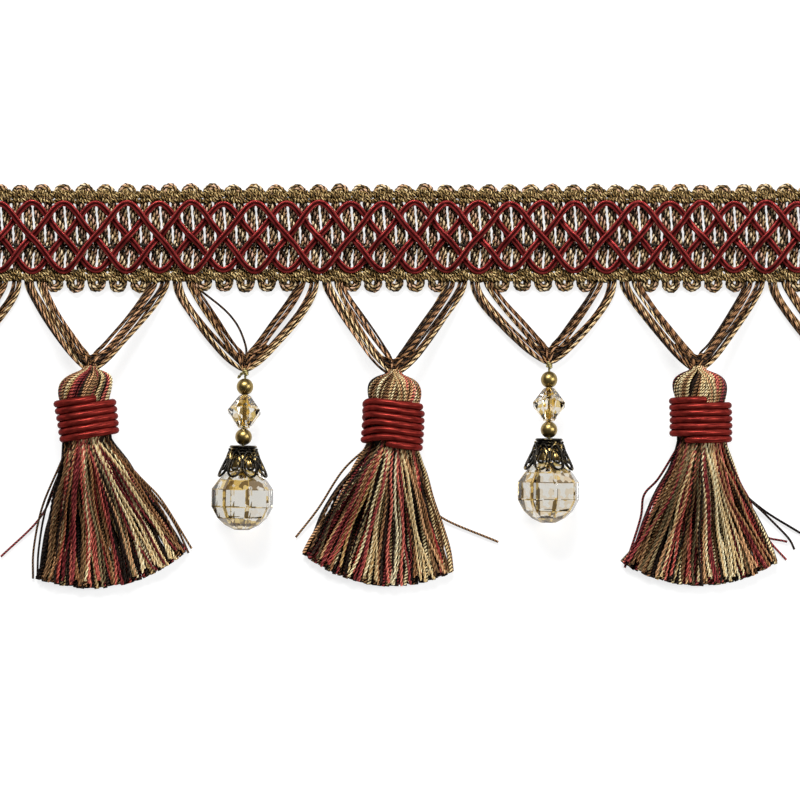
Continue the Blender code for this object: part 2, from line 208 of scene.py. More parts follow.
@dataclass(frozen=True)
class YarnFinish(Finish):
    """Lustrous twisted yarn, with streaks along its fibres, painted shade in the grooves between its plies
    and a painted highlight on the crowns of the plies.

    The edge's colour comes in from edge_from to edge_to, in millimetres from edge_middle, towards
    the heading's edges.
    """

    name: str
    # shadow is the painted shade in the grooves; light colours the fibre streaks and the painted highlight on
    # the crowns
    shadow: Colour
    body: Colour
    light: Colour
    roughness: float = 0.46
    streaks: float = 12.0
    streak_pace: float = 0.4
    lay: float = 3.4
    painted_plies: int = 0
    painted_depth: float = 0.85
    contrast: float = 0.9
    groove_shade: float = 0.62
    relief: float = 0.12
    bump: float = 0.55
    shine: float = 0.07
    brightening: float = 0.16
    hollow_power: float = 1.8
    slope_end: float = 0.36
    shadow_range: tuple[float, float] = (0.1, 0.62)
    edge: Colour | None = None
    edge_middle: float = 0.4
    edge_from: float = 8.2
    edge_to: float = 9.6
    edge_share: float = 0.62

    def plan(self) -> NodePlan:
        """Lay out the fibres, the painted shade in the grooves, the painted highlight on the crowns and the
        relief.

        Returns:
            The nodes.
        """
        plan = NodePlan(self.name)
        along, around, _ = plan.split(plan.strand_place())
        shade = plan.attribute("shade")
        turned = plan.plus(around, plan.math("DIVIDE", along, self.lay))
        place = plan.join(
            plan.times(along, self.streak_pace), plan.times(turned, self.streaks), plan.times(shade, 40.0)
        )
        fibre = plan.spread(plan.noise(place, 1.0, 3.0), *FIBRES)
        groove = plan.attribute("groove")
        height = fibre
        # Painted plies: the twist's pattern, with painted shade in the hollows between the plies
        if self.painted_plies:
            angle = plan.times(turned, 2 * math.pi * self.painted_plies)
            crown = plan.plus(plan.times(plan.math("COSINE", angle), 0.5), 0.5)
            hollow = plan.math("POWER", plan.minus(1.0, crown), self.hollow_power)
            groove = plan.math("MAXIMUM", groove, plan.times(hollow, self.painted_depth))
            height = plan.plus(plan.times(crown, 2.0), fibre)
        own = plan.times(plan.minus(shade, 0.5), self.contrast)
        # Painted shade and highlight: the tone drops down the slopes into the grooves and is lifted on the
        # crowns
        slope = plan.times(plan.spread(groove, 0.0, self.slope_end), self.groove_shade)
        tone = plan.minus(plan.plus(fibre, own), plan.minus(slope, self.brightening))
        crowns = plan.blend(plan.spread(tone, 0.0, 1.0), self.body, self.light)
        if self.edge:
            _, y, _ = plan.split(plan.object_place())
            reach = plan.math("ABSOLUTE", plan.minus(y, self.edge_middle * MM))
            gilt = plan.times(plan.spread(reach, self.edge_from * MM, self.edge_to * MM), self.edge_share)
            crowns = plan.blend(gilt, crowns, plan.blend(fibre, self.edge, self.light))
        # Painted shade: the deepest part of each groove takes the shadow colour
        colour = plan.blend(plan.spread(groove, *self.shadow_range), crowns, self.shadow)
        plan.bump(height, self.bump, self.relief)
        plan.set(Base_Color=colour, Roughness=self.roughness, Specular_IOR_Level=self.shine)
        return plan


@dataclass(frozen=True)
class CordFinish(Finish):
    """Smooth cord covered in fine floss, which shows as close lines across it, with a painted highlight on
    the floss's ridges and painted shade in the groove of a paired cord.
    """

    name: str
    shadow: Colour
    body: Colour
    light: Colour
    roughness: float = 0.27
    floss_pitch: float = 0.24
    floss_relief: float = 0.05
    bump: float = 0.3
    # How far the floss's ridges are lightened, as a painted highlight
    wear: float = 0.35
    shadow_end: float = 0.8
    shine: float = 0.03
    lustre: float = 0.55
    stretch: float = 0.85
    tint: Colour = (0.35, 0.06, 0.05, 1.0)

    def plan(self) -> NodePlan:
        """Lay out the floss, its slow changes of colour, the painted highlight on its ridges, the painted
        shade in its groove and its relief.

        Returns:
            The nodes.
        """
        plan = NodePlan(self.name)
        along, around, _ = plan.split(plan.strand_place())
        steps = plan.math("DIVIDE", plan.plus(along, around), self.floss_pitch)
        ridge = plan.math("ABSOLUTE", plan.math("SINE", plan.times(steps, math.pi)))
        shade = plan.attribute("shade")
        place = plan.join(plan.times(along, 0.5), plan.times(around, 7.0), plan.times(shade, 30.0))
        crowns = plan.blend(plan.spread(plan.noise(place, 1.0), *FIBRES), self.body, self.light)
        # Painted highlight: the floss's ridges are lightened towards the light colour
        ridge_lit = plan.blend(plan.times(ridge, self.wear), crowns, self.light)
        # Painted shade: the groove between a pair of cords takes the shadow colour
        groove = plan.spread(plan.attribute("groove"), 0.0, self.shadow_end)
        colour = plan.blend(groove, ridge_lit, self.shadow)
        plan.bump(ridge, self.bump, self.floss_relief)
        plan.set(Base_Color=colour, Roughness=self.roughness, Specular_IOR_Level=self.shine)
        plan.set(Anisotropic=self.stretch, Metallic=self.lustre, Specular_Tint=self.tint)
        tangent = plan.add("ShaderNodeTangent", direction_type="UV_MAP", uv_map="UVMap")
        plan.set(Tangent=tangent.outputs["Tangent"])
        return plan


@dataclass(frozen=True)
class MetalFinish(Finish):
    """Old metal: a ground colour with rubbed or tarnished patches."""

    name: str
    ground: Colour
    patch: Colour
    roughness: float
    patch_from: float
    patch_scale: float = 700.0
    patch_blur: float = 0.14
    rough_spread: float = 0.16
    grain_fineness: float = 5.0
    bump: float = 0.25
    relief: float = 0.03

    def plan(self) -> NodePlan:
        """Lay out the patches and their roughness.

        Returns:
            The nodes.
        """
        plan = NodePlan(self.name)
        place = plan.object_place()
        cloud = plan.noise(place, self.patch_scale, 4.0)
        patches = plan.spread(cloud, self.patch_from, self.patch_from + self.patch_blur)
        grain = plan.noise(place, self.grain_fineness * self.patch_scale)
        colour = plan.blend(patches, self.ground, self.patch)
        rough = plan.plus(plan.times(grain, self.rough_spread), self.roughness - self.rough_spread / 2)
        plan.bump(grain, self.bump, self.relief)
        plan.set(Base_Color=colour, Roughness=rough, Metallic=1.0)
        return plan


@dataclass(frozen=True)
class CrystalFinish(Finish):
    """Champagne crystal, clear on its broad facets and amber or brown on some of the small ones; the amber
    and brown are partly the glass's own colour and partly painted refraction and reflection.
    """

    name: str
    clear: Colour
    amber: Colour
    brown: Colour
    index: float = 1.56
    shine: float = 0.7
    amber_range: tuple[float, float] = (0.35, 0.6)
    brown_range: tuple[float, float] = (0.75, 0.95)
    cloud_range: tuple[float, float] = (0.5, 1.0)
    clouding: float = 0.6
    glint_range: tuple[float, float] = (0.22, 0.5)
    glint_scale: float = 780.0
    glint_share: float = 0.95
    smear_scale: float = 300.0
    smear_depth: float = 0.05

    def plan(self) -> NodePlan:
        """Lay out the tints of the facets, partly painted refraction and reflection, broken up into small
        painted glints, and a faint smear.

        Returns:
            The nodes.
        """
        plan = NodePlan(self.name)
        tint = plan.attribute("tint")
        place = plan.object_place()
        cells = plan.add("ShaderNodeTexVoronoi", {"Vector": place, "Scale": self.glint_scale})
        cell = plan.add("ShaderNodeSeparateColor", {0: cells.outputs["Color"]}).outputs[0]
        broken = plan.times(plan.minus(cell, 0.5), self.glint_share)
        tint = plan.plus(tint, plan.times(broken, plan.spread(tint, *self.glint_range)))
        warm = plan.blend(plan.spread(tint, *self.amber_range), self.clear, self.amber)
        colour = plan.blend(plan.spread(tint, *self.brown_range), warm, self.brown)
        smear = plan.noise(place, self.smear_scale)
        # Facets with more painted tint let less light through, so that their colour shows
        clear = plan.minus(1.0, plan.times(plan.spread(tint, *self.cloud_range), self.clouding))
        plan.set(Base_Color=colour, Roughness=plan.times(smear, self.smear_depth))
        plan.set(Transmission_Weight=clear, IOR=self.index, Specular_IOR_Level=self.shine)
        return plan


@dataclass(frozen=True)
class FloorFinish(Finish):
    """A pale, faintly mottled floor that glows a little, as a light table does."""

    name: str
    paper: Colour
    shade: Colour
    glow: float
    glow_colour: Colour = (1, 1, 1, 1)
    mottle_scale: float = 3.0
    roughness: float = 0.9

    def plan(self) -> NodePlan:
        """Lay out the paper.

        Returns:
            The nodes.
        """
        plan = NodePlan(self.name)
        mottle = plan.noise(plan.object_place(), self.mottle_scale)
        plan.set(Base_Color=plan.blend(mottle, self.paper, self.shade), Roughness=self.roughness)
        plan.set(Emission_Color=self.glow_colour, Emission_Strength=self.glow)
        return plan


def tones(shadow: str, body: str, light: str) -> tuple[Colour, Colour, Colour]:
    """Three colours, each given as its red, green and blue from 0 to 1 with spaces between: the painted
    shade, the body, and the light colour that also gives the painted highlights.
    """
    return tuple((*map(float, words.split()), 1.0) for words in (shadow, body, light))


# Each yarn and cord takes the shade painted in its grooves, its body, and the light colour of its streaks and
# painted highlights
YARNS = {
    letter: YarnFinish(f"yarn_{word}", *tones(*colours))
    for letter, word, colours in (
        ("K", "dark_brown", ("0.001 0.0005 0.0005", "0.007 0.004 0.003", "0.045 0.026 0.018")),
        ("B", "brown", ("0.004 0.0015 0.001", "0.085 0.036 0.014", "0.40 0.22 0.10")),
        ("W", "burgundy", ("0.004 0.0005 0.0005", "0.10 0.009 0.013", "0.42 0.075 0.07")),
        ("R", "rose", ("0.02 0.001 0.001", "0.32 0.030 0.026", "0.90 0.26 0.18")),
        ("T", "rust", ("0.010 0.003 0.001", "0.24 0.095 0.035", "0.80 0.45 0.22")),
        ("G", "gold", ("0.02 0.007 0.002", "0.52 0.30 0.10", "1.0 0.86 0.50")),
        ("C", "cream", ("0.05 0.02 0.006", "0.80 0.55 0.25", "1.0 0.93 0.62")),
        ("S", "sage", ("0.005 0.004 0.002", "0.075 0.052 0.024", "0.38 0.28 0.14")),
    )
}
LOOPS = {
    letter: replace(finish, name=finish.name.replace("yarn", "loop"), lay=1.55, painted_plies=2)
    for letter, finish in YARNS.items()
}


def fine_yarn(name: str, colours: tuple[Colour, Colour, Colour], lay: float, **more: object) -> YarnFinish:
    """A thin yarn whose two plies are coloured on it instead of modelled."""
    return YarnFinish(name, *colours, lay=lay, painted_plies=2, **more)


WEFT_LAY = 2.2
HANGER_LAY = 4.2
TYING_LAY = 1.4
GILT = (0.30, 0.19, 0.06, 1.0)
WEFT = tuple(
    fine_yarn(f"weft_{word}", tones(*colours), WEFT_LAY, edge=GILT)
    for word, colours in (
        ("dark", ("0.001 0.0005 0.0003", "0.018 0.010 0.006", "0.12 0.075 0.04")),
        ("brown", ("0.003 0.001 0.0005", "0.10 0.05 0.02", "0.42 0.26 0.12")),
        ("tan", ("0.012 0.005 0.002", "0.36 0.225 0.105", "0.92 0.75 0.48")),
        ("rose_beige", ("0.006 0.002 0.001", "0.22 0.105 0.062", "0.78 0.50 0.34")),
    )
)
OLIVE_GOLD, OLIVE = (
    fine_yarn(f"warp_{word}", tones(*colours), WEFT_LAY)
    for word, colours in (
        ("olive_gold", ("0.002 0.001 0.0003", "0.24 0.137 0.037", "0.98 0.74 0.35")),
        ("olive", ("0.001 0.0005 0.0002", "0.065 0.037 0.010", "0.42 0.26 0.09")),
    )
)
HANGER = {
    letter: fine_yarn(f"hanger_{word}", tones(*colours), HANGER_LAY)
    for letter, word, colours in (
        ("K", "dark", ("0.001 0.0005 0.0003", "0.014 0.007 0.004", "0.10 0.054 0.028")),
        ("B", "brown", ("0.003 0.001 0.0005", "0.085 0.036 0.013", "0.38 0.20 0.085")),
        ("G", "gold", ("0.012 0.005 0.001", "0.30 0.16 0.058", "0.92 0.68 0.37")),
        ("T", "tan", ("0.006 0.0025 0.001", "0.18 0.075 0.03", "0.66 0.37 0.20")),
        ("O", "olive", ("0.003 0.002 0.001", "0.09 0.058 0.022", "0.42 0.30 0.14")),
    )
}
TYING = fine_yarn("tying_yarn", tones("0.03 0.02 0.006", "0.25 0.20 0.07", "0.62 0.54 0.24"), TYING_LAY)
PINCH_THREAD = YarnFinish("pinch_thread", *tones("0.001 0.001 0.001", "0.008 0.007 0.005", "0.03 0.026 0.02"))
RED_GIMP = CordFinish("red_gimp_floss", *tones("0.003 0.0003 0.0005", "0.12 0.010 0.012", "0.44 0.055 0.050"))
WRAP_RED = CordFinish("wrap_floss", *tones("0.002 0.0002 0.0003", "0.046 0.0036 0.0038", "0.27 0.031 0.023"))
BRASS = MetalFinish("old_brass", (0.30, 0.215, 0.075, 1), (0.13, 0.085, 0.03, 1), 0.36, 0.56)
BLACK_BRASS = MetalFinish("blackened_brass", (0.016, 0.014, 0.011, 1), (0.46, 0.33, 0.13, 1), 0.34, 0.56)
GILT_BRASS = MetalFinish("gilt_lining", (0.66, 0.45, 0.16, 1), (0.1, 0.07, 0.03, 1), 0.34, 0.56, 900.0)
CRYSTAL = CrystalFinish(
    "champagne_glass", clear=(0.85, 0.83, 0.77, 1), amber=(0.72, 0.43, 0.07, 1), brown=(0.10, 0.052, 0.010, 1)
)
FLOOR = FloorFinish("pale_floor", paper=(0.31, 0.31, 0.31, 1), shade=(0.29, 0.29, 0.29, 1), glow=0.78)


# Cords and yarns

class Section(Enum):
    """The cross section of a cord, with its half width as 1."""

    ROUND = "round"
    FINE_ROUND = "fine round"
    TWO_PLY = "two plies"
    PAIR = "two cords side by side"

    def outline(self) -> list[tuple[float, float]]:
        """List the section's points in order round it.

        Returns:
            The x and y of each.
        """
        match self:
            case Section.ROUND:
                return ring_points(6)
            case Section.FINE_ROUND:
                return ring_points(10)
            case Section.TWO_PLY:
                return plied_points(2, (-62.0, 0.0, 62.0), 1.1)
            case Section.PAIR:
                return plied_points(2, (-80.0, -40.0, 0.0, 40.0, 80.0), 0.4)
        raise ValueError(self)


def ring_points(sides: int) -> list[tuple[float, float]]:
    """Points round a circle of radius 1."""
    return [(math.cos(2 * math.pi * i / sides), math.sin(2 * math.pi * i / sides)) for i in range(sides)]


def plied_points(plies: int, arc: Sequence[float], fill: float) -> list[tuple[float, float]]:
    """Outline of equal round plies that touch each other inside a circle of radius 1.

    Args:
        plies: how many plies there are.
        arc: degrees from a ply's outermost place, for the points on each ply.
        fill: how far fibres fill the grooves, as a share of a ply's radius.

    Returns:
        The outline's points, with one more in each groove between two plies.
    """
    ply = math.sin(math.pi / plies) / (1 + math.sin(math.pi / plies))
    middle = 1 - ply
    groove = middle * math.cos(math.pi / plies) + fill * ply
    points = []
    for number in range(plies):
        facing = 2 * math.pi * number / plies
        for degrees in arc:
            turn = facing + math.radians(degrees)
            x = middle * math.cos(facing) + ply * math.cos(turn)
            points.append((x, middle * math.sin(facing) + ply * math.sin(turn)))
        between = facing + math.pi / plies
        points.append((groove * math.cos(between), groove * math.sin(between)))
    return points


def mix(start: float, end: float, share: float) -> float:
    """The value that lies a share of the way from start to end."""
    return start + (end - start) * share


def ease(share: float) -> float:
    """A share that starts and ends gently."""
    held = min(1.0, max(0.0, share))
    return held * held * (3 - 2 * held)


def even_route(fine: np.ndarray, step: float) -> np.ndarray:
    """Set points at equal steps along a line.

    Args:
        fine: the line's points.
        step: the wanted distance between neighbours.

    Returns:
        The new points, with both ends kept.
    """
    along = lengths_along(fine)
    count = max(2, round(along[-1] / step)) + 1
    marks = np.linspace(0.0, along[-1], count)
    return np.column_stack([np.interp(marks, along, fine[:, axis]) for axis in range(3)])


def smooth_route(points: Sequence[Sequence[float]], step: float) -> np.ndarray:
    """Run a smooth line through a few points.

    Args:
        points: the places that it passes.
        step: the distance between the points of the result.

    Returns:
        Points at equal steps along the smooth line.
    """
    knots = np.array(points, float)
    knots = np.vstack([2 * knots[0] - knots[1], knots, 2 * knots[-1] - knots[-2]])
    share = np.linspace(0.0, 1.0, 10, endpoint=False)[:, None]
    runs = []
    for before, start, end, after in zip(knots, knots[1:], knots[2:], knots[3:]):
        run = 2 * start + (end - before) * share
        run = run + (2 * before - 5 * start + 4 * end - after) * share ** 2
        run = run + (3 * start - before - 3 * end + after) * share ** 3
        runs.append(run / 2)
    return even_route(np.vstack([*runs, knots[-2:-1]]), step)


def sway(x: np.ndarray, *waves: tuple[float, float, float]) -> np.ndarray:
    """The sum of a few sine waves, each given as its height, its length over 2 pi and its start."""
    return sum(height * np.sin(x / length + start) for height, length, start in waves)


def lengths_along(route: np.ndarray) -> np.ndarray:
    """Distance of each point from the first, along the line."""
    return np.concatenate([[0.0], np.cumsum(np.linalg.norm(np.diff(route, axis=0), axis=1))])


def put(route: np.ndarray, lean: float, place: tuple[float, float, float]) -> np.ndarray:
    """Move a line from a part's own axes to the fringe's.

    Args:
        route: the line's points.
        lean: how far the part is turned on the floor, in degrees.
        place: where its origin lies.

    Returns:
        The moved points.
    """
    turn = math.radians(lean)
    x = route[:, 0] * math.cos(turn) - route[:, 1] * math.sin(turn)
    y = route[:, 0] * math.sin(turn) + route[:, 1] * math.cos(turn)
    return np.column_stack([x, y, route[:, 2]]) + np.array(place)


def cabled(route: np.ndarray, reach: np.ndarray, lay: float, start: float, flat: np.ndarray) -> np.ndarray:
    """Wind one ply round a level line.

    Args:
        route: the line.
        reach: distance of the ply from the line, at each point.
        lay: length of one full turn.
        start: the ply's first direction in radians.
        flat: the cable's height as a share of its width, at each point.

    Returns:
        The ply's own line.
    """
    tangent = np.gradient(route, axis=0)
    tangent /= np.linalg.norm(tangent, axis=1)[:, None]
    up = np.array([0.0, 0.0, 1.0])
    side = np.cross(tangent, up)
    angle = start + 2 * math.pi * lengths_along(route) / lay
    return route + reach[:, None] * (np.cos(angle)[:, None] * side + (flat * np.sin(angle))[:, None] * up)


@dataclass
class Strand:
    """One cord, yarn or wire, whose widths are shares of its radius at each point."""

    route: np.ndarray
    radius: float
    finish: Finish
    section: Section = Section.TWO_PLY
    lay: float = 0.0
    start: float = 0.0
    shade: float = 0.5
    level: bool = False
    closed: bool = False
    widths: np.ndarray | float = 1.0


@dataclass
class Skein:
    """Strands and other closed shapes that become one piece."""

    strands: list[Strand] = field(default_factory=list)
    shapes: list[tuple[bmesh.types.BMesh, Finish]] = field(default_factory=list)

    def add(self, *strands: Strand) -> None:
        """Put strands into the skein."""
        self.strands.extend(strands)

    def mesh(self, name: str) -> bpy.types.Mesh:
        """Make the mesh of all that is in the skein.

        Args:
            name: the mesh's name.

        Returns:
            A closed mesh whose faces point out.
        """
        groups: dict[tuple[Section, Finish, bool], list[Strand]] = {}
        for strand in self.strands:
            groups.setdefault((strand.section, strand.finish, strand.level), []).append(strand)
        made = bmesh.new()
        slots: dict[Finish, int] = {}
        for (section, finish, level), strands in groups.items():
            take_in(made, strand_mesh(strands, section, level), slots.setdefault(finish, len(slots)))
        rims = [edge for edge in made.edges if edge.is_boundary]
        for edge in rims:
            edge.smooth = False
        bmesh.ops.holes_fill(made, edges=rims, sides=0)
        for shape, finish in self.shapes:
            sheet = bpy.data.meshes.new("shape")
            shape.to_mesh(sheet)
            shape.free()
            take_in(made, sheet, slots.setdefault(finish, len(slots)))
        bmesh.ops.recalc_face_normals(made, faces=made.faces)
        mesh = bpy.data.meshes.new(name)
        made.to_mesh(mesh)
        made.free()
        for finish in slots:
            mesh.materials.append(finish.material())
        return mesh

    def show(self, name: str, slot: str, *nodes: str) -> bpy.types.Object:
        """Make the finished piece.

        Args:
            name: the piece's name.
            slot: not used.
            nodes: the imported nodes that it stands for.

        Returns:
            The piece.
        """
        piece = bpy.data.objects.new(name, self.mesh(name))
        bpy.context.collection.objects.link(piece)
        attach(piece, "root")
        if nodes:
            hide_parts(*nodes)
        log.info("%s: %d triangles", name, sum(len(face.vertices) - 2 for face in piece.data.polygons))
        return piece


def take_in(made: bmesh.types.BMesh, sheet: bpy.types.Mesh, index: int) -> None:
    """Add a mesh to a bmesh under one material, and drop the mesh.

    Args:
        made: the bmesh that grows.
        sheet: the mesh to add.
        index: the number of its material.
    """
    sheet.polygons.foreach_set("material_index", np.full(len(sheet.polygons), index, np.int32))
    made.from_mesh(sheet)
    bpy.data.meshes.remove(sheet)


def strand_mesh(strands: Sequence[Strand], section: Section, level: bool) -> bpy.types.Mesh:
    """Sweep one section along several strands.

    Args:
        strands: the strands.
        section: their cross section.
        level: whether the section keeps its width level, as a flat cord's does.

    Returns:
        A mesh of open tubes. Its UV map holds millimetres along and the share of the way round.
    """
    outline = section.outline()
    profile = bpy.data.curves.new("profile", "CURVE")
    profile.dimensions = "2D"
    spline = profile.splines.new("POLY")
    spline.points.add(len(outline) - 1)
    for point, (x, y) in zip(spline.points, outline):
        point.co = (x * MM, y * MM, 0, 1)
    spline.use_cyclic_u = True
    profile_object = bpy.data.objects.new("profile", profile)
    curve = bpy.data.curves.new("strands", "CURVE")
    curve.dimensions = "3D"
    curve.bevel_mode = "OBJECT"
    curve.bevel_object = profile_object
    curve.twist_mode = "Z_UP" if level else "MINIMUM"
    for strand in strands:
        add_spline(curve, strand)
    thing = bpy.data.objects.new("strands", curve)
    bpy.context.collection.objects.link(profile_object)
    bpy.context.collection.objects.link(thing)
    graph = bpy.context.evaluated_depsgraph_get()
    mesh = bpy.data.meshes.new_from_object(thing.evaluated_get(graph))
    for made in (thing, profile_object):
        bpy.data.objects.remove(made)
    for made in (curve, profile):
        bpy.data.curves.remove(made)
    write_strand_layers(mesh, strands, outline)
    return mesh


def add_spline(curve: bpy.types.Curve, strand: Strand) -> None:
    """Add a strand to a curve, with its twist and its changes of width.

    Args:
        curve: the curve.
        strand: the strand.
    """
    count = len(strand.route)
    spline = curve.splines.new("POLY")
    spline.points.add(count - 1)
    places = np.column_stack([strand.route * MM, np.ones(count)])
    spline.points.foreach_set("co", places.ravel())
    along = lengths_along(strand.route)
    turns = along / strand.lay if strand.lay else np.zeros(count)
    spline.points.foreach_set("tilt", strand.start + 2 * math.pi * turns)
    spline.points.foreach_set("radius", strand.radius * strand.widths * np.ones(count))
    spline.use_cyclic_u = strand.closed


def write_strand_layers(
    mesh: bpy.types.Mesh, strands: Sequence[Strand], outline: Sequence[tuple[float, float]]
) -> None:
    """Give each tube its UV map, its own shade and the depth of its grooves.

    Args:
        mesh: the tubes, one ring of vertices after another.
        strands: the strands in the order of the tubes.
        outline: the points of each ring.
    """
    sides = len(outline)
    lines = [lengths_along(strand.route) for strand in strands]
    counts = [len(line) * sides for line in lines]
    side = np.tile(np.arange(sides), sum(map(len, lines)))
    along = np.repeat(np.concatenate(lines), sides)
    total = np.repeat([line[-1] + strand.radius for line, strand in zip(lines, strands)], counts)
    shade = np.repeat([strand.shade for strand in strands], counts)
    # The groove depth is the mask for the shade painted in the grooves
    depth = np.array([1 - math.hypot(x, y) for x, y in outline])
    for name, values in (("shade", shade), ("groove", depth[side])):
        layer = mesh.attributes.new(name, "FLOAT", "POINT")
        layer.data.foreach_set("value", values.astype(np.float32))
    corners = np.empty(len(mesh.loops), np.int32)
    mesh.loops.foreach_get("vertex_index", corners)
    quads = corners.reshape(-1, 4)
    around = side[quads].astype(float)
    seam = around.max(axis=1) - around.min(axis=1) > 1
    around[(around == 0) & seam[:, None]] = sides
    reach, whole = along[quads], total[quads]
    joint = reach.max(axis=1) - reach.min(axis=1) > 0.5 * whole[:, 0]
    reach = np.where((reach == 0) & joint[:, None], whole, reach)
    layer = mesh.uv_layers[0] if mesh.uv_layers else mesh.uv_layers.new(name="UVMap")
    layer.name = "UVMap"
    places = np.column_stack([reach.ravel(), around.ravel() / sides])
    layer.data.foreach_set("uv", places.astype(np.float32).ravel())


# Turned and faceted shapes, on the Y axis

def lathe(profile: Sequence[tuple[float, float]], steps: int, place: Matrix) -> bmesh.types.BMesh:
    """Spin a closed profile once round the Y axis.

    Args:
        profile: places along the axis and their radii, joined in a closed loop or from pole to pole.
        steps: how many sides the turned shape has.
        place: where the shape goes.

    Returns:
        The closed shape.
    """
    made = bmesh.new()
    corners = [made.verts.new((radius * MM, along * MM, 0)) for along, radius in profile]
    edges = [made.edges.new(pair) for pair in zip(corners, corners[1:])]
    if profile[0][1] > 0:
        edges.append(made.edges.new((corners[-1], corners[0])))
    bmesh.ops.spin(
        made, geom=corners + edges, cent=(0, 0, 0), axis=(0, 1, 0),
        angle=2 * math.pi, steps=steps, use_merge=True,
    )
    bmesh.ops.remove_doubles(made, verts=made.verts, dist=0.001 * MM)
    bmesh.ops.recalc_face_normals(made, faces=made.faces)
    for face in made.faces:
        face.smooth = True
    bmesh.ops.transform(made, matrix=place, verts=made.verts)
    return made


FACETS = 8


def cut_edges(made: bmesh.types.BMesh, edges: Sequence[bmesh.types.BMEdge], width: float) -> None:
    """Cut a narrow facet along each of some edges.

    Args:
        made: the shape that has them.
        edges: the edges.
        width: how much is taken from the facets on each side, in millimetres.
    """
    bmesh.ops.bevel(
        made, geom=edges, offset=width * MM, segments=1, affect="EDGES", profile=0.5, material=-1
    )


def cut_bead(
    rings: Sequence[tuple[float, float]], bored: bool, turn: float, edge: float, strip: float = 0.0
) -> bmesh.types.BMesh:
    """Make a faceted bead by bridging rings of corners.

    Args:
        rings: places along the axis and their radii, in order.
        bored: whether the last ring joins the first, as round a bore, or both ends are capped.
        turn: how far the corners are turned round the axis, in degrees.
        edge: width of the polished edges between the facets.
        strip: width taken from the facets by the narrow facets that run from end to end.

    Returns:
        The closed bead on the Y axis.
    """
    made = bmesh.new()
    stand = Matrix.Rotation(math.radians(turn), 4, "Y") @ Matrix.Rotation(math.pi / 2, 4, "X")
    loops = []
    for along, radius in rings:
        place = Matrix.Translation((0, along * MM, 0)) @ stand
        circle = bmesh.ops.create_circle(made, segments=FACETS, radius=radius * MM, matrix=place)
        corners = set(circle["verts"])
        loops.append([rim for rim in made.edges if set(rim.verts) <= corners])
    followers = loops[1:] + loops[:1] if bored else loops[1:]
    for near, far in zip(loops, followers):
        bmesh.ops.bridge_loops(made, edges=near + far)
    if not bored:
        bmesh.ops.holes_fill(made, edges=loops[0] + loops[-1], sides=0)
    skew = [face for face in made.faces if len(face.verts) == 4 and not is_flat(face)]
    bmesh.ops.triangulate(made, faces=skew, quad_method="SHORT_EDGE")
    bmesh.ops.recalc_face_normals(made, faces=made.faces)
    if strip:
        cut_edges(made, [rib for rib in made.edges if runs_along(rib)], strip)
    cut_edges(made, made.edges[:], edge)
    bmesh.ops.recalc_face_normals(made, faces=made.faces)
    return made


def runs_along(edge: bmesh.types.BMEdge) -> bool:
    """Whether an edge runs from one ring of a bead to the next, on its outside."""
    near, far = (corner.co for corner in edge.verts)
    return abs(near.y - far.y) > 0.3 * MM and math.hypot(near.x, near.z) > 1.5 * MM


def is_flat(face: bmesh.types.BMFace) -> bool:
    """Whether a face's corners lie in one plane."""
    middle = face.calc_center_median()
    return all(abs((corner.co - middle).dot(face.normal)) < 0.01 * MM for corner in face.verts)


def tint_facets(
    made: bmesh.types.BMesh, chance: random.Random, warm_from: float, column: float = 0.0
) -> None:
    """Give every facet its own share of amber, partly the glass's own colour and partly painted refraction
    and reflection.

    Args:
        made: the cut bead on the Y axis.
        chance: the random numbers to draw from.
        warm_from: distance along the axis past which the facets are warm, in millimetres.
        column: half width of the warm column along the bore, in millimetres.
    """
    layer = made.faces.layers.float.new("tint")
    broad = max(face.calc_area() for face in made.faces)
    for face in sorted(made.faces, key=attrgetter("index")):
        middle = face.calc_center_median()
        narrow = face.calc_area() < 0.2 * broad
        outer = abs(middle.y) > warm_from * MM
        # Painted refraction and reflection: narrow facets and the outer rows take the most amber and brown,
        # the facets over the bore a middling amber
        low, high = (0.52, 1.0) if narrow else (0.2, 1.0) if outer else (0.0, 0.36)
        if abs(middle.x) < column * MM:
            low, high = 0.4, 0.62
        face[layer] = chance.uniform(low, high)


# Heading

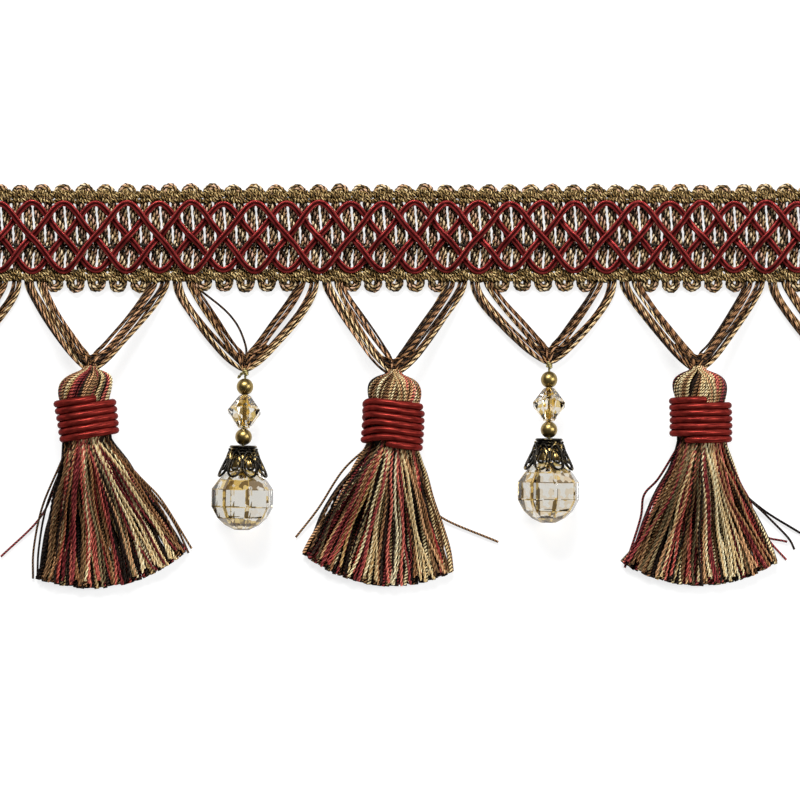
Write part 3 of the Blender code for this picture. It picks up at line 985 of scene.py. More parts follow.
@dataclass
class Heading:
    """The braid: a weft cord that runs up and down, two bands of warp yarns and a row of pinching thread."""

    top_turn: float = 10.15
    bottom_turn: float = -10.9
    short_turn: float = -8.6
    turn_radius: float = 1.2
    weft_height: float = 0.86
    weft_insets: tuple[float, float] = (1.0, 0.6)
    ply_reach: float = 0.64
    ply_flat: float = 0.68
    ply_radius: float = 0.455
    ply_lay: float = 6.4
    ply_starts: tuple[float, ...] = (0.0, 0.5, 0.25, 0.75)
    band_top: float = 9.3
    band_bottom: float = -9.05
    warp_radius: float = 0.66
    warp_height: float = 1.5
    warp_swing: float = 0.36
    warp_lay: float = 2.4
    warp_inset: float = 0.7
    warp_push: float = 0.3
    pinch: float = -2.3
    pinch_spread: float = 1.45
    pinch_middle: float = -2.5
    pinch_reach: float = 1.35
    pinch_radius: float = 0.32
    pinch_height: float = 0.82
    pinch_inset: float = 0.4
    pinch_aside: float = 0.3
    pinch_sway: float = 0.12
    pinch_rise: float = 0.62
    cell_start: float = -2.77
    cell: float = 7.41
    flat_width: float = 24.9
    marks: tuple[float, ...] = (-6.2, -2.3, 0.5, 4.7)
    lean: tuple[tuple[float, ...], tuple[float, ...]] = (
        (-10.6, -6.2, -1.8, 0.5, 4.7, 10.3),
        (-0.1, -0.1, 0.3, 0.28, -0.05, -0.45),
    )
    warps: tuple[tuple[float, float, float, float, float, Finish], ...] = (
        # phase, swing, place from the band's middle outwards, push, radius share, finish
        (0.0, 0.6, 0.6, 0.2, 1.0, OLIVE_GOLD),
        (0.5, 0.6, 0.5, 0.2, 0.95, OLIVE),
        (0.25, 0.55, -0.4, 1.0, 1.0, OLIVE_GOLD),
        (0.75, 0.55, -0.55, 1.0, 0.95, OLIVE),
        (0.1, 0.45, 0.05, 0.5, 0.85, WEFT[1]),
    )
    chance: random.Random = field(default_factory=partial(random.Random, 11))

    def bar(self, x: float, y: float) -> tuple[float, float, float]:
        """The place at height y on the leaning bar that starts from x."""
        return (x + float(np.interp(y, *self.lean)), y, self.weft_height)

    def turn(self, x: float, y: float, way: int) -> list[tuple[float, float, float]]:
        """A half circle from one bar to the next.

        Args:
            x: the middle of the turn.
            y: where the turn starts.
            way: 1 over the top, -1 round the bottom.

        Returns:
            The turn's points from left to right.
        """
        middle = self.bar(x, y)[0]
        stretch = self.chance.uniform(0.85, 1.15)
        aside = self.chance.uniform(-0.15, 0.15)
        points = []
        for degrees in range(180, -1, -18):
            over, up = math.cos(math.radians(degrees)), math.sin(math.radians(degrees))
            out = way * stretch * self.turn_radius * up
            points.append((middle + self.turn_radius * over + aside * up, y + out, self.weft_height))
        return points

    def weft_route(self) -> np.ndarray:
        """The weft cord's line.

        Returns:
            Its points from one cut end to the other.
        """
        points = [self.bar(-LENGTH / 2 + self.weft_insets[0], self.top_turn)]
        picots = UNITS * PICOTS_A_UNIT
        for number in range(picots):
            middle = -LENGTH / 2 + (number + 0.5) * PICOT_PITCH
            hidden = number % PICOTS_A_UNIT in (0, PICOTS_A_UNIT - 1)
            low = self.short_turn if hidden else self.bottom_turn
            left, right = middle - PICOT_PITCH / 4, middle + PICOT_PITCH / 4
            points += [self.bar(left, height) for height in reversed(self.marks)]
            points += self.turn(middle, low, -1)
            points += [self.bar(right, height) for height in self.marks]
            if number < picots - 1:
                points += self.turn(middle + PICOT_PITCH / 2, self.top_turn, 1)
        points.append(self.bar(LENGTH / 2 - self.weft_insets[1], self.top_turn))
        return smooth_route(points, 0.63)

    def widen(self, route: np.ndarray) -> np.ndarray:
        """How far the plies are pushed apart round the pinch, along the cord's line."""
        near = np.exp(-(((route[:, 1] - self.pinch_middle) / self.pinch_reach) ** 4))
        return 1 + (self.pinch_spread - 1) * near

    def squeeze(self, route: np.ndarray) -> np.ndarray:
        """Work out how far the pinch draws the cord in and the bands press it.

        Args:
            route: the cord's line.

        Returns:
            Its width at each point, as a share of its full width.
        """
        y = route[:, 1]
        share = 1 - 0.05 * np.clip((np.abs(y - 0.2) - 10.2) / 0.5, 0, 1)
        for depth, place, reach in (
            (0.12, self.pinch, 0.6), (0.16, self.band_top, 1.1), (0.16, self.band_bottom, 1.1)
        ):
            share = share - depth * np.exp(-(((y - place) / reach) ** 2))
        return share

    def dress_weft(self) -> list[bpy.types.Object]:
        """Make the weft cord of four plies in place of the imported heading.

        Returns:
            The two dark plies and the two light ones.
        """
        route = self.weft_route()
        squeeze = self.squeeze(route)
        widen = self.widen(route)
        route[:, 2] *= 0.6 + 0.4 * squeeze
        reach, flat = self.ply_reach * squeeze * widen, self.ply_flat / widen
        pieces = []
        for name, plies in (("heading_weft", (0, 1)), ("heading_weft_light", (2, 3))):
            skein = Skein()
            for ply in plies:
                line = cabled(route, reach, self.ply_lay, 2 * math.pi * self.ply_starts[ply], flat)
                widths = 0.4 + 0.6 * squeeze
                skein.add(Strand(line, self.ply_radius, WEFT[ply], Section.ROUND, widths=widths))
            pieces.append(skein.show(name, "braid_yarn", "heading"))
        return pieces

    def dress_band(self, word: str, middle: float) -> bpy.types.Object:
        """Make one band of warp yarns, which cross each other over the bars.

        Args:
            word: upper or lower.
            middle: the band's height on the heading.

        Returns:
            The band.
        """
        skein = Skein()
        out = math.copysign(1.0, middle)
        x = np.arange(-LENGTH / 2 + self.warp_inset, LENGTH / 2 - self.warp_inset, 0.45)
        pushed = self.warp_push * np.cos(2 * math.pi * (x - self.cell_start) / self.cell)
        for number, (phase, swing, place, push, share, finish) in enumerate(self.warps):
            angle = 2 * math.pi * (x / PICOT_PITCH + phase)
            y = middle + out * (place + push * pushed) + swing * np.sin(angle)
            y += sway(x, (0.12, 7.3, number), (0.08, 2.9, 2 * number))
            z = self.warp_height + self.warp_swing * np.cos(angle + math.pi / 2)
            # Painted light: the lower band's yarns are made lighter, to stand in for the light from the top
            # that leaves it darker
            skein.add(Strand(
                even_route(np.column_stack([x, y, z]), 0.5),
                self.warp_radius * share,
                finish,
                lay=self.warp_lay,
                start=number,
                shade=0.45 + 0.07 * number + (0.12 if middle < 0 else 0.0),
            ))
        return skein.show(f"heading_band_{word}", "braid_yarn")

    def dress_pinch(self) -> bpy.types.Object:
        """Make the two threads that draw the bars in, each over one bar and under the next.

        Returns:
            The threads, as one piece.
        """
        skein = Skein()
        x = np.arange(-LENGTH / 2 + self.pinch_inset, LENGTH / 2 - self.pinch_inset, 0.4)
        angle = 2 * math.pi * x / PICOT_PITCH
        for side in (-1, 1):
            y = self.pinch + side * (self.pinch_aside + self.pinch_sway * np.cos(2 * angle))
            z = self.pinch_height + side * self.pinch_rise * np.sin(angle)
            route = np.column_stack([x, y, z])
            skein.add(Strand(route, self.pinch_radius, PINCH_THREAD, Section.ROUND))
        return skein.show("heading_pinch", "braid_yarn")

    def dress(self, lattice: Sequence[bpy.types.Object]) -> None:
        """Args:
            lattice: the cords that lie on it; not used.
        """
        weft, light = self.dress_weft()
        upper = self.dress_band("upper", self.band_top)
        lower = self.dress_band("lower", self.band_bottom)
        pinch = self.dress_pinch()


@dataclass
class Lattice:
    """Four red cords that cross over the heading in waves, a quarter of a wave apart.

    Each level is a place in the wave, in degrees, and whether each of the four cords lies high there.
    """

    wave_length: float = 6 * PICOT_PITCH
    wave_height: float = 7.85
    wave_start: float = -2.77
    wave_share: float = 0.1
    middle: float = -0.15
    width: float = 1.42
    low: float = 2.15
    high: float = 3.35
    levels: tuple[tuple[int, tuple[int, int, int, int]], ...] = (
        (0, (0, 0, 0, 0)),
        (30, (1, 0, 1, 0)),
        (58, (1, 0, 1, 0)),
        (90, (1, 1, 0, 0)),
        (122, (1, 0, 1, 0)),
        (150, (1, 0, 1, 0)),
        (180, (0, 0, 0, 0)),
    )

    def crest(self, degrees: np.ndarray) -> np.ndarray:
        """Work out where a cord lies across the heading.

        Args:
            degrees: places in its wave.

        Returns:
            Its distance from the fringe's X axis at each of them.
        """
        angle = np.radians(degrees)
        wave = (np.cos(angle) + self.wave_share * np.cos(3 * angle)) / (1 + self.wave_share)
        return self.middle + self.wave_height * wave

    def height(self, degrees: np.ndarray, cord: int) -> np.ndarray:
        """Work out a cord's height above the floor, over some cords and under others.

        Args:
            degrees: places in its wave.
            cord: its number from 0.

        Returns:
            Its height at each of them.
        """
        places, levels = zip(*self.levels)
        share = np.interp(degrees % 180, places, [level[cord] for level in levels])
        return mix(self.low, self.high, share * share * (3 - 2 * share))

    def dress(self) -> list[bpy.types.Object]:
        """Make the four cords.

        Returns:
            The cords, each a piece of its own.
        """
        pieces = []
        reach = (LENGTH - self.width) / 2
        x = np.arange(-reach, reach, 0.3)
        for cord in range(4):
            degrees = (x - self.wave_start) * 360 / self.wave_length - 90 * cord
            y = self.crest(degrees) + sway(x, (0.15, 6.1, 1.7 * cord), (0.08, 2.3, cord))
            route = even_route(np.column_stack([x, y, self.height(degrees, cord)]), 0.55)
            strand = Strand(route, self.width / 2, RED_GIMP, Section.PAIR, shade=0.3 * cord, level=True)
            name = f"lattice_cord_{cord + 1}"
            pieces.append(Skein([strand]).show(f"{name}_gimp", "red_gimp", name))
        return pieces


# Hangers

class Side(Enum):
    """The two legs of a hanger."""

    LEFT = -1
    RIGHT = 1

    @property
    def word(self) -> str:
        """The side's name in a node."""
        return self.name.lower()


LEG_SHARES = np.linspace(0, 1, 28)


@dataclass
class Hanger:
    """A V of loose yarns, from the braid down to what it carries.

    The marks are shares of a leg's length. At each of them the leg's two bundles lie a distance
    apart, and each bundle has a spread.
    """

    unit: str
    middle: float
    apex: tuple[float, float, float]
    drop: float
    sink: float
    seed: int
    parting: tuple[float, float, float, float]
    stray: tuple[float, float] = (0.0, 0.0)
    root: tuple[float, float, float] = (14.4, -10.65, 0.85)
    bend: tuple[float, float] = (3.5, 4.8)
    tip_width: float = 1.6
    tip_parting: float = 0.3
    looseness: tuple[float, float] = (0.22, 0.14)
    marks: tuple[float, ...] = (0.0, 0.25, 0.55, 0.84, 1.0)
    spreads: tuple[float, ...] = (0.85, 0.8, 0.78, 0.82, 0.46)
    rise: float = 0.42
    yarn_radius: float = 0.29
    stray_radius: float = 0.26
    turning_radius: float = 0.33
    turning_step: float = 0.4
    orders: tuple[str, str] = ("BGTKGOKBTBGKTB", "TBKGTOBGBKTBKG")
    # The inner turning yarns are mostly dark: partly their own colours and partly painted shade in the hollow
    # where the legs meet
    turning: str = "KKKBKTB"

    def centre(self, shares: np.ndarray, side: Side) -> np.ndarray:
        """Work out a leg's line, straight down from its root and in to the tip on a smooth curve.

        Args:
            shares: places along it, from 0 at the root to 1.
            side: which leg.

        Returns:
            The line's points.
        """
        aside, root_y, root_z = self.root
        root = np.array([self.middle + side.value * aside, root_y, root_z])
        tip = np.array(self.apex) + np.array([side.value * self.tip_width / 2, 0, 0])
        below = root - np.array([0, self.drop, 0])
        beside = tip + np.array([side.value * self.bend[0], self.bend[1], 0])
        s = shares[:, None]
        rest = 1 - s
        line = rest ** 3 * root + 3 * rest ** 2 * s * below + 3 * rest * s ** 2 * beside + s ** 3 * tip
        line[:, 2] = root[2] + (tip[2] - root[2]) * shares ** 2 * (3 - 2 * shares)
        return line

    def across(self, line: np.ndarray) -> np.ndarray:
        """Find the level directions that cross a leg.

        Args:
            line: the leg's line.

        Returns:
            A direction for each point of the line, towards +X.
        """
        tangent = np.gradient(line, axis=0)
        across = np.column_stack([-tangent[:, 1], tangent[:, 0], np.zeros(len(line))])
        return across / np.linalg.norm(across, axis=1)[:, None]

    def yarn_route(self, side: Side, bundle: int, turn: float, chance: random.Random) -> np.ndarray:
        """The line of one yarn in a leg.

        Args:
            side: which leg.
            bundle: -1 for the left bundle of the leg, 1 for the right one.
            turn: the yarn's place round its bundle in radians.
            chance: the random numbers to draw from.

        Returns:
            The yarn's points from inside the braid to past the tip.
        """
        shares = LEG_SHARES
        line = self.centre(shares, side)
        apart = np.interp(shares, self.marks, (*self.parting, self.tip_parting))
        spread = np.interp(shares, self.marks, self.spreads)
        angle = turn + chance.uniform(0.3, 2.2) * shares
        broad, fine = self.looseness
        loose = chance.uniform(-broad, broad) * np.sin(math.pi * shares)
        loose += chance.uniform(-fine, fine) * np.sin(chance.uniform(6, 9) * shares + chance.uniform(0, 3))
        lateral = bundle * apart + spread * np.cos(angle) + loose * np.sin(math.pi * shares) ** 0.5
        if bundle == -side.value:
            lateral += bundle * chance.uniform(0.1, 0.7) * np.exp(-(((shares - 0.9) / 0.075) ** 2))
        line = line + self.across(line) * lateral[:, None]
        line[:, 2] += self.rise * np.sin(angle)
        start = line[0] + np.array([0, 2.6, 0.1])
        aside, raised = chance.uniform(-0.35, 0.35), chance.uniform(-0.2, 0.4)
        end = np.array(self.apex) + np.array([aside, -self.sink, raised])
        return smooth_route([start, *line[::3], line[-1], end], 0.9)

    def stray_route(self, side: Side, swing: float) -> np.ndarray:
        """The line of a yarn that stands off inside the V.

        Args:
            side: which leg it belongs to.
            swing: how far it stands off.

        Returns:
            The yarn's points.
        """
        line = self.centre(LEG_SHARES, side)
        off = self.parting[0] + 0.5 + swing * np.sin(math.pi * LEG_SHARES ** 1.4) ** 1.3
        off *= np.interp(LEG_SHARES, (0, 0.9, 1), (1, 0.9, 0.3))
        line = line - self.across(line) * (side.value * off)[:, None]
        return smooth_route([line[0] + np.array([0, 2.2, 0.1]), *line[::3], line[-1]], 0.7)

    def turning_route(self, number: int) -> np.ndarray:
        """The line of an inner yarn that comes down one leg and turns up into the other.

        Args:
            number: its place, counted up from the tip.

        Returns:
            The yarn's points from leg to leg.
        """
        shares = np.array([0.84, 0.93]) - 0.02 * number
        left = self.centre(shares, Side.LEFT)
        right = self.centre(shares, Side.RIGHT)[::-1]
        height = 0.15 + self.turning_step * number
        low = np.array(self.apex) + np.array([0.1 * math.sin(3 * number), height, 0])
        side, up = np.array([0.9, 0, 0]), np.array([0, 0.45, 0])
        route = smooth_route([*left, low - side + up, low, low + side + up, *right], 0.6)
        route[:, 2] += 0.3 * math.sin(2.2 * number)
        return route

    def dress(self) -> None:
        """Make both legs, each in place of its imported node."""
        for side, order, swing in zip(Side, self.orders, self.stray):
            chance = random.Random(self.seed + side.value)
            skein = Skein()
            half = len(order) // 2
            for number, letter in enumerate(order):
                turn = 2 * math.pi * (number % half) / half + 0.4 * side.value
                route = self.yarn_route(side, -1 if number < half else 1, turn, chance)
                radius = self.yarn_radius * chance.uniform(0.88, 1.1)
                skein.add(Strand(route, radius, HANGER[letter], Section.ROUND, shade=chance.random()))
            if swing:
                stray = self.stray_route(side, swing)
                skein.add(Strand(stray, self.stray_radius, HANGER["K"], Section.ROUND))
            for number, letter in enumerate(self.turning if side is Side.LEFT else ""):
                route = self.turning_route(number)
                skein.add(Strand(route, self.turning_radius, HANGER[letter], Section.ROUND, shade=0.2))
            name = f"{self.unit}_leg_{side.word}"
            skein.show(f"{name}_yarns", "hanger_yarn", name)


# Tassels

@dataclass(frozen=True)
class SkirtRow:
    """One layer of a skirt's yarns, from its roots at the neck to its ends over the floor.

    The spread is the share of the fan that it fills. A layer with no letters shows, so its yarns
    are modelled finely and take their finishes from the tassel's own order.
    """

    count: int
    root_height: float
    rest_height: float
    spread: float
    letters: str = ""
    radius: float = 0.38
    aside: float = 0.36


SKIRT_MIX = "KKKKKKWWWRBBTGGCS"
SKIRT_DARK = "KKKWB"
SKIRT_ROWS = (
    SkirtRow(40, -4.7, 0.88, 0.97, "KKKBB", 0.66),
    SkirtRow(34, -2.8, 1.1, 1.0, "KKBWKS", 0.52),
    SkirtRow(36, -0.4, 1.7, 1.0, SKIRT_MIX, 0.46),
    SkirtRow(36, 2.4, 2.4, 0.99),
    SkirtRow(32, 4.7, 3.1, 0.95, aside=0.6),
)
# Places along a head and their distances from its axis, for its yarns and for its dark core
DOME = (
    (3.2, 5.0), (5.0, 5.5), (6.6, 5.8), (8.2, 5.7), (9.4, 5.15),
    (10.3, 4.1), (10.9, 2.95), (11.3, 2.05), (11.8, 1.55), (12.4, 1.3),
)
CORE = ((-6.6, 0), (-6.4, 3.4), (-4.8, 4.9), (5.0, 5.1), (8.0, 5.2), (9.4, 4.5), (10.4, 2.6), (10.8, 0))
BEHIND = (0.5, 1.5, 2.5, 3.5, 4.5, 5.5)


@dataclass
class Tassel:
    """A head of looped yarns, a neck bound with cord, and a skirt that lies fanned out on the floor.

    The fan runs from one angle to the other, in degrees from straight down. A wrap steps down by one
    pitch at each of its steps, which are counted in turns. An order gives the letters of the yarns'
    finishes from left to right.
    """

    number: int
    x: float
    y: float
    lean: float
    fan: tuple[float, float]
    strays: tuple[tuple[tuple[float, float, float], ...], ...]
    skirt_order: str
    head_order: str
    tuft: float
    wrap_start: float
    wrap_end: float
    wrap_tilt: float
    wrap_steps: tuple[float, ...] = BEHIND
    axis_height: float = 7.05
    wrap_pitch: float = 1.45
    wrap_lift: float = 0.0
    wrap_shift: float = 0.0
    wrap_taper: float = 0.0
    wrap_radius: float = 7.3
    wrap_reach: float = 7.0
    wrap_overlap: float = 1.05
    wrap_tuck: float = 1.1
    wrap_tucked_turns: float = 0.06
    wrap_step_turns: float = 0.24
    neck_radius: float = 5.7
    head_top: float = 11.3
    head_yarns: int = 108
    head_twist: float = 44.0
    head_radius: float = 0.27
    skirt_length: float = 33.7
    skirt_root: float = -3.6
    skirt_top: float = -5.6
    bow: float = 1.1
    ripple: float = 0.36
    fan_centre: float = -5.5
    flare: float = 0.94
    dark_share: float = 0.34
    mixed_share: float = 0.09
    stray_radius: float = 0.28
    tuft_radius: float = 0.29
    tuft_order: str = "GTSGT"

    @property
    def name(self) -> str:
        """The tassel's node."""
        return f"tassel_{self.number}"

    @property
    def middle(self) -> float:
        """The middle of the tassel's unit."""
        return unit_middle(2 * self.number - 1)

    @property
    def centre(self) -> tuple[float, float, float]:
        """The middle of the neck."""
        return (self.middle + self.x, self.y, self.axis_height)

    @property
    def apex(self) -> tuple[float, float, float]:
        """Where the hanger's legs meet."""
        return (self.middle + self.x / 2, self.y + self.head_top + 0.75, self.axis_height)

    def pick(self, order: str, share: float, chance: random.Random) -> str:
        """Choose the letter of a yarn's finish, mostly by its place in an order.

        Args:
            order: the letters of the finishes from left to right.
            share: the yarn's place across, from 0 to 1.
            chance: the random numbers to draw from.

        Returns:
            The letter.
        """
        if chance.random() < self.mixed_share:
            return chance.choice(SKIRT_MIX)
        return order[min(len(order) - 1, max(0, int(share * len(order))))]

    def skirt_route(
        self, row: SkirtRow, share: float, angle: float, step: float, chance: random.Random
    ) -> np.ndarray:
        """The line of one yarn, from under the wrap to the hem.

        Args:
            row: its layer.
            share: its place across the neck, from -1 to 1.
            angle: the direction of its end from straight down the skirt, in degrees.
            step: the distance between the line's points.
            chance: the random numbers to draw from.

        Returns:
            The yarn's points in the neck's own axes.
        """
        root_x = share * math.sqrt(max(1.0, self.neck_radius ** 2 - row.root_height ** 2))
        turn = math.radians(angle - self.lean)
        shortest = 0.935 if row.root_height > 2 else 0.985
        length = self.skirt_length * chance.uniform(shortest, 1.006)
        end = (length * math.sin(turn), self.fan_centre - length * math.cos(turn))
        floor = row.rest_height + chance.uniform(-0.15, 0.15) - self.axis_height
        bow = chance.uniform(-self.bow, self.bow)
        knots = [(root_x * 0.96, self.skirt_root, row.root_height)]
        for part in (0.0, 0.2, 0.42, 0.64, 0.84, 1.0):
            fall = ease(part / 0.86) if row.root_height > 0 else 1 - (1 - part) ** 3
            aside = bow * math.sin(math.pi * part) + self.ripple * math.sin(9 * part + 7 * bow)
            x = mix(root_x, end[0], part ** self.flare if part else 0.0) + aside * math.cos(turn)
            y = mix(self.skirt_top, end[1], part) + aside * math.sin(turn)
            knots.append((x, y, mix(row.root_height, floor, fall)))
        return smooth_route(knots, step)

    def dress_skirt(self, chance: random.Random) -> None:
        """Make the skirt with its strays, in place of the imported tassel.

        Args:
            chance: the random numbers to draw from.
        """
        skein = Skein()
        for number, row in enumerate(SKIRT_ROWS):
            for i in range(row.count):
                share = (i + 0.5 + chance.uniform(-row.aside, row.aside)) / row.count
                share = min(0.99, max(0.01, share))
                angle = mix(self.fan[0] * row.spread, self.fan[1] * row.spread, share)
                if row.letters:
                    route = self.skirt_route(row, 2 * share - 1, angle, 1.3, chance)
                    skein.add(self.thin_yarn(route, chance.choice(row.letters), row.radius, chance))
                    continue
                deep = number == 3 and chance.random() < self.dark_share
                letter = chance.choice(SKIRT_DARK) if deep else self.pick(self.skirt_order, share, chance)
                route = self.skirt_route(row, 2 * share - 1, angle, 0.54, chance)
                skein.add(self.plied_yarn(route, letter, row.radius, chance))
        for stray in self.strays:
            letter = chance.choice("KWB")
            skein.add(self.thin_yarn(smooth_route(stray, 0.8), letter, self.stray_radius, chance))
        skein.show(f"{self.name}_skirt", "skirt_yarn", self.name)

    def plied_yarn(self, route: np.ndarray, letter: str, radius: float, chance: random.Random) -> Strand:
        """Make a yarn whose two plies are modelled.

        Args:
            route: its points in the neck's own axes.
            letter: its finish.
            radius: its usual radius.
            chance: the random numbers to draw from.

        Returns:
            The yarn, in place.
        """
        size = radius * chance.uniform(0.88, 1.08)
        lay, start = chance.uniform(2.4, 3.5), chance.uniform(0, math.pi)
        line = put(route, self.lean, self.centre)
        return Strand(line, size, YARNS[letter], lay=lay, start=start, shade=chance.random())

    def thin_yarn(self, route: np.ndarray, letter: str, radius: float, chance: random.Random) -> Strand:
        """Make a round yarn whose plies are only coloured.

        Args:
            route: its points in the neck's own axes.
            letter: its finish.
            radius: its usual radius.
            chance: the random numbers to draw from.

        Returns:
            The yarn, in place.
        """
        size = radius * chance.uniform(0.9, 1.08)
        line = put(route, self.lean, self.centre)
        return Strand(line, size, LOOPS[letter], Section.ROUND, shade=chance.random())

    def head_route(self, around: float, lift: float, twist: float) -> np.ndarray:
        """A yarn that comes up from under the wrap and over the dome to the apex.

        Args:
            around: its direction from the axis in radians.
            lift: how far it lies outside the others.
            twist: how far it turns round the axis on its way.

        Returns:
            The yarn's points in the neck's own axes.
        """
        apex = self.apex[0] - self.centre[0]
        lean = math.radians(self.lean)
        shift = apex * math.cos(lean) + (self.apex[1] - self.y) * math.sin(lean)
        knots = []
        for number, (along, radius) in enumerate(DOME):
            share = number / (len(DOME) - 1)
            angle = around + twist * share
            wide = radius + lift * math.sin(math.pi * share)
            middle = shift * max(0.0, (along - 5) / 7.3) ** 1.5
            knots.append((middle + wide * math.sin(angle), along, wide * math.cos(angle)))
        return smooth_route(knots, 0.55)

    def dress_head(self, chance: random.Random) -> None:
        """Make the head of looped yarns round a dark core, with a tuft that comes down in front.

        Args:
            chance: the random numbers to draw from.
        """
        place = Matrix.Translation([size * MM for size in self.centre])
        place = place @ Matrix.Rotation(math.radians(self.lean), 4, "Z")
        skein = Skein(shapes=[(lathe(CORE, 20, place), YARNS["K"])])
        twist = math.radians(self.head_twist)
        for number in range(self.head_yarns):
            around = 2 * math.pi * (number + chance.uniform(-0.6, 0.6)) / self.head_yarns - math.pi
            share = (around + math.pi / 2) / math.pi
            letter = self.pick(self.head_order, share, chance) if 0 <= share < 1 else chance.choice(SKIRT_MIX)
            route = self.head_route(around, chance.uniform(-0.2, 0.4), twist * chance.uniform(0.6, 1.4))
            strand = self.thin_yarn(route, letter, self.head_radius, chance)
            shares = np.linspace(0, 1, len(route))
            strand.widths = np.array([mix(1.0, 0.5, ease((share - 0.55) / 0.4)) for share in shares])
            skein.add(strand)
        for number, letter in enumerate(self.tuft_order if self.tuft else ""):
            around = math.radians(self.tuft + 3.6 * number)
            route = self.head_route(around, 0.75 + 0.1 * math.sin(2.4 * number), math.radians(-self.tuft))
            skein.add(self.thin_yarn(route, letter, self.tuft_radius, chance))
        skein.show(f"{self.name}_head", "skirt_yarn")

    def wrap_along(self, turn: float) -> float:
        """How far down the neck the wrap is after some turns, as it steps from one level to the next."""
        steps = sum(ease((turn - step) / self.wrap_step_turns + 0.5) for step in self.wrap_steps)
        return (len(self.wrap_steps) / 2 - steps) * self.wrap_pitch

    def dress_wrap(self, chance: random.Random) -> None:
        """Make the cord wound round the neck, with both ends tucked in.

        Args:
            chance: the random numbers to draw from.
        """
        radius = self.wrap_overlap * self.wrap_pitch / 2
        wave = chance.uniform(0, 6)
        knots = []
        for step in range(round(24 * self.wrap_end) + 1):
            turn = step / 24
            angle = math.radians(self.wrap_start) - 2 * math.pi * turn
            along = self.wrap_lift + self.wrap_along(turn)
            along += self.wrap_reach * self.wrap_tilt * math.sin(angle)
            along += 0.1 * math.sin(angle + wave + 0.4 * turn)
            ends = (turn, self.wrap_end - turn)
            tucked = sum(max(0.0, 1 - away / self.wrap_tucked_turns) for away in ends)
            wide = self.wrap_radius - radius - self.wrap_tuck * tucked - self.wrap_taper * turn
            wide += 0.06 * math.sin(3 * angle + turn)
            shift = self.wrap_shift * turn / self.wrap_end
            height = max(wide * math.cos(angle), radius - self.axis_height)
            knots.append((wide * math.sin(angle) + shift, along, height))
        line = put(smooth_route(knots, 0.9), self.lean, self.centre)
        skein = Skein([Strand(line, radius, WRAP_RED, Section.FINE_ROUND, shade=0.2 * self.number)])
        skein.show(f"{self.name}_wrap_cord", "wrap_cord", f"{self.name}_wrap")

    def dress(self) -> None:
        """Make the tassel and its hanger."""
        chance = random.Random(100 + self.number)
        self.dress_skirt(chance)
        self.dress_head(chance)
        self.dress_wrap(chance)
        Hanger(
            self.name, self.middle, self.apex, drop=2.6, sink=1.4, seed=40 + 10 * self.number,
            parting=(1.4, 1.2, 1.02, 0.9), stray=(0.75, 0.4) if self.number == 2 else (0.0, 0.0),
        ).dress()


# Bead drops

BORE = 0.7
BALL_HEIGHT = 7.2
BALL_TURN = math.radians(-11.25)
CAP_TOP = 12.2
WIDEST = BALL_HEIGHT / math.cos(BALL_TURN)
# Half profiles: places along a bead's axis, or up a drop's axis from the ball's middle, and radii
BALL = (
    (3.3, BORE), (7.0, BORE), (7.0, 2.1), (6.2, 3.9), (4.6, 5.75),
    (2.4, WIDEST), (-1.7, WIDEST), (-4.3, 5.9), (-6.0, 4.0), (-7.0, 1.9),
)
BICONE = ((3.8, BORE), (3.8, 1.4), (0, 4.1), (-3.8, 1.4), (-3.8, BORE))
COLLAR = ((12.3, 0.8), (12.3, 2.7), (10.9, 3.05), (10.9, 2.8), (12.0, 2.4), (12.0, 0.8))
LINING = ((11.2, 2.7), (9.4, 3.3), (7.4, 4.2), (7.4, 4.0), (9.4, 3.1), (11.2, 2.5))
# The cap's outside: places up the drop's axis, then radii
CONE = ((5.3, 9.6, CAP_TOP), (5.7, 3.6, 2.9))
# Grains on each petal: places up the drop's axis, and distances aside from the petal's middle
GRAINS = ((7.0, 0.0), (9.4, 0.45), (9.4, -0.45), (10.3, 0.0))


def turns(count: int) -> np.ndarray:
    """Directions that share out a full turn, in radians."""
    return np.linspace(0, 2 * math.pi, count, endpoint=False)


def cone(along: float, facing: float, aside: float = 0.0, lift: float = 0.0) -> tuple[float, ...]:
    """Find a place on the cap's flared outside, in the drop's own axes.

    Args:
        along: its place up the drop's axis.
        facing: a direction from the axis in radians.
        aside: how far round the cap the place is from that direction, in millimetres.
        lift: how far it stands off the cap.

    Returns:
        The place.
    """
    radius = float(np.interp(along, *CONE))
    around = facing + aside / radius
    return ((radius + lift) * math.sin(around), along, (radius + lift) * math.cos(around) + BALL_HEIGHT)


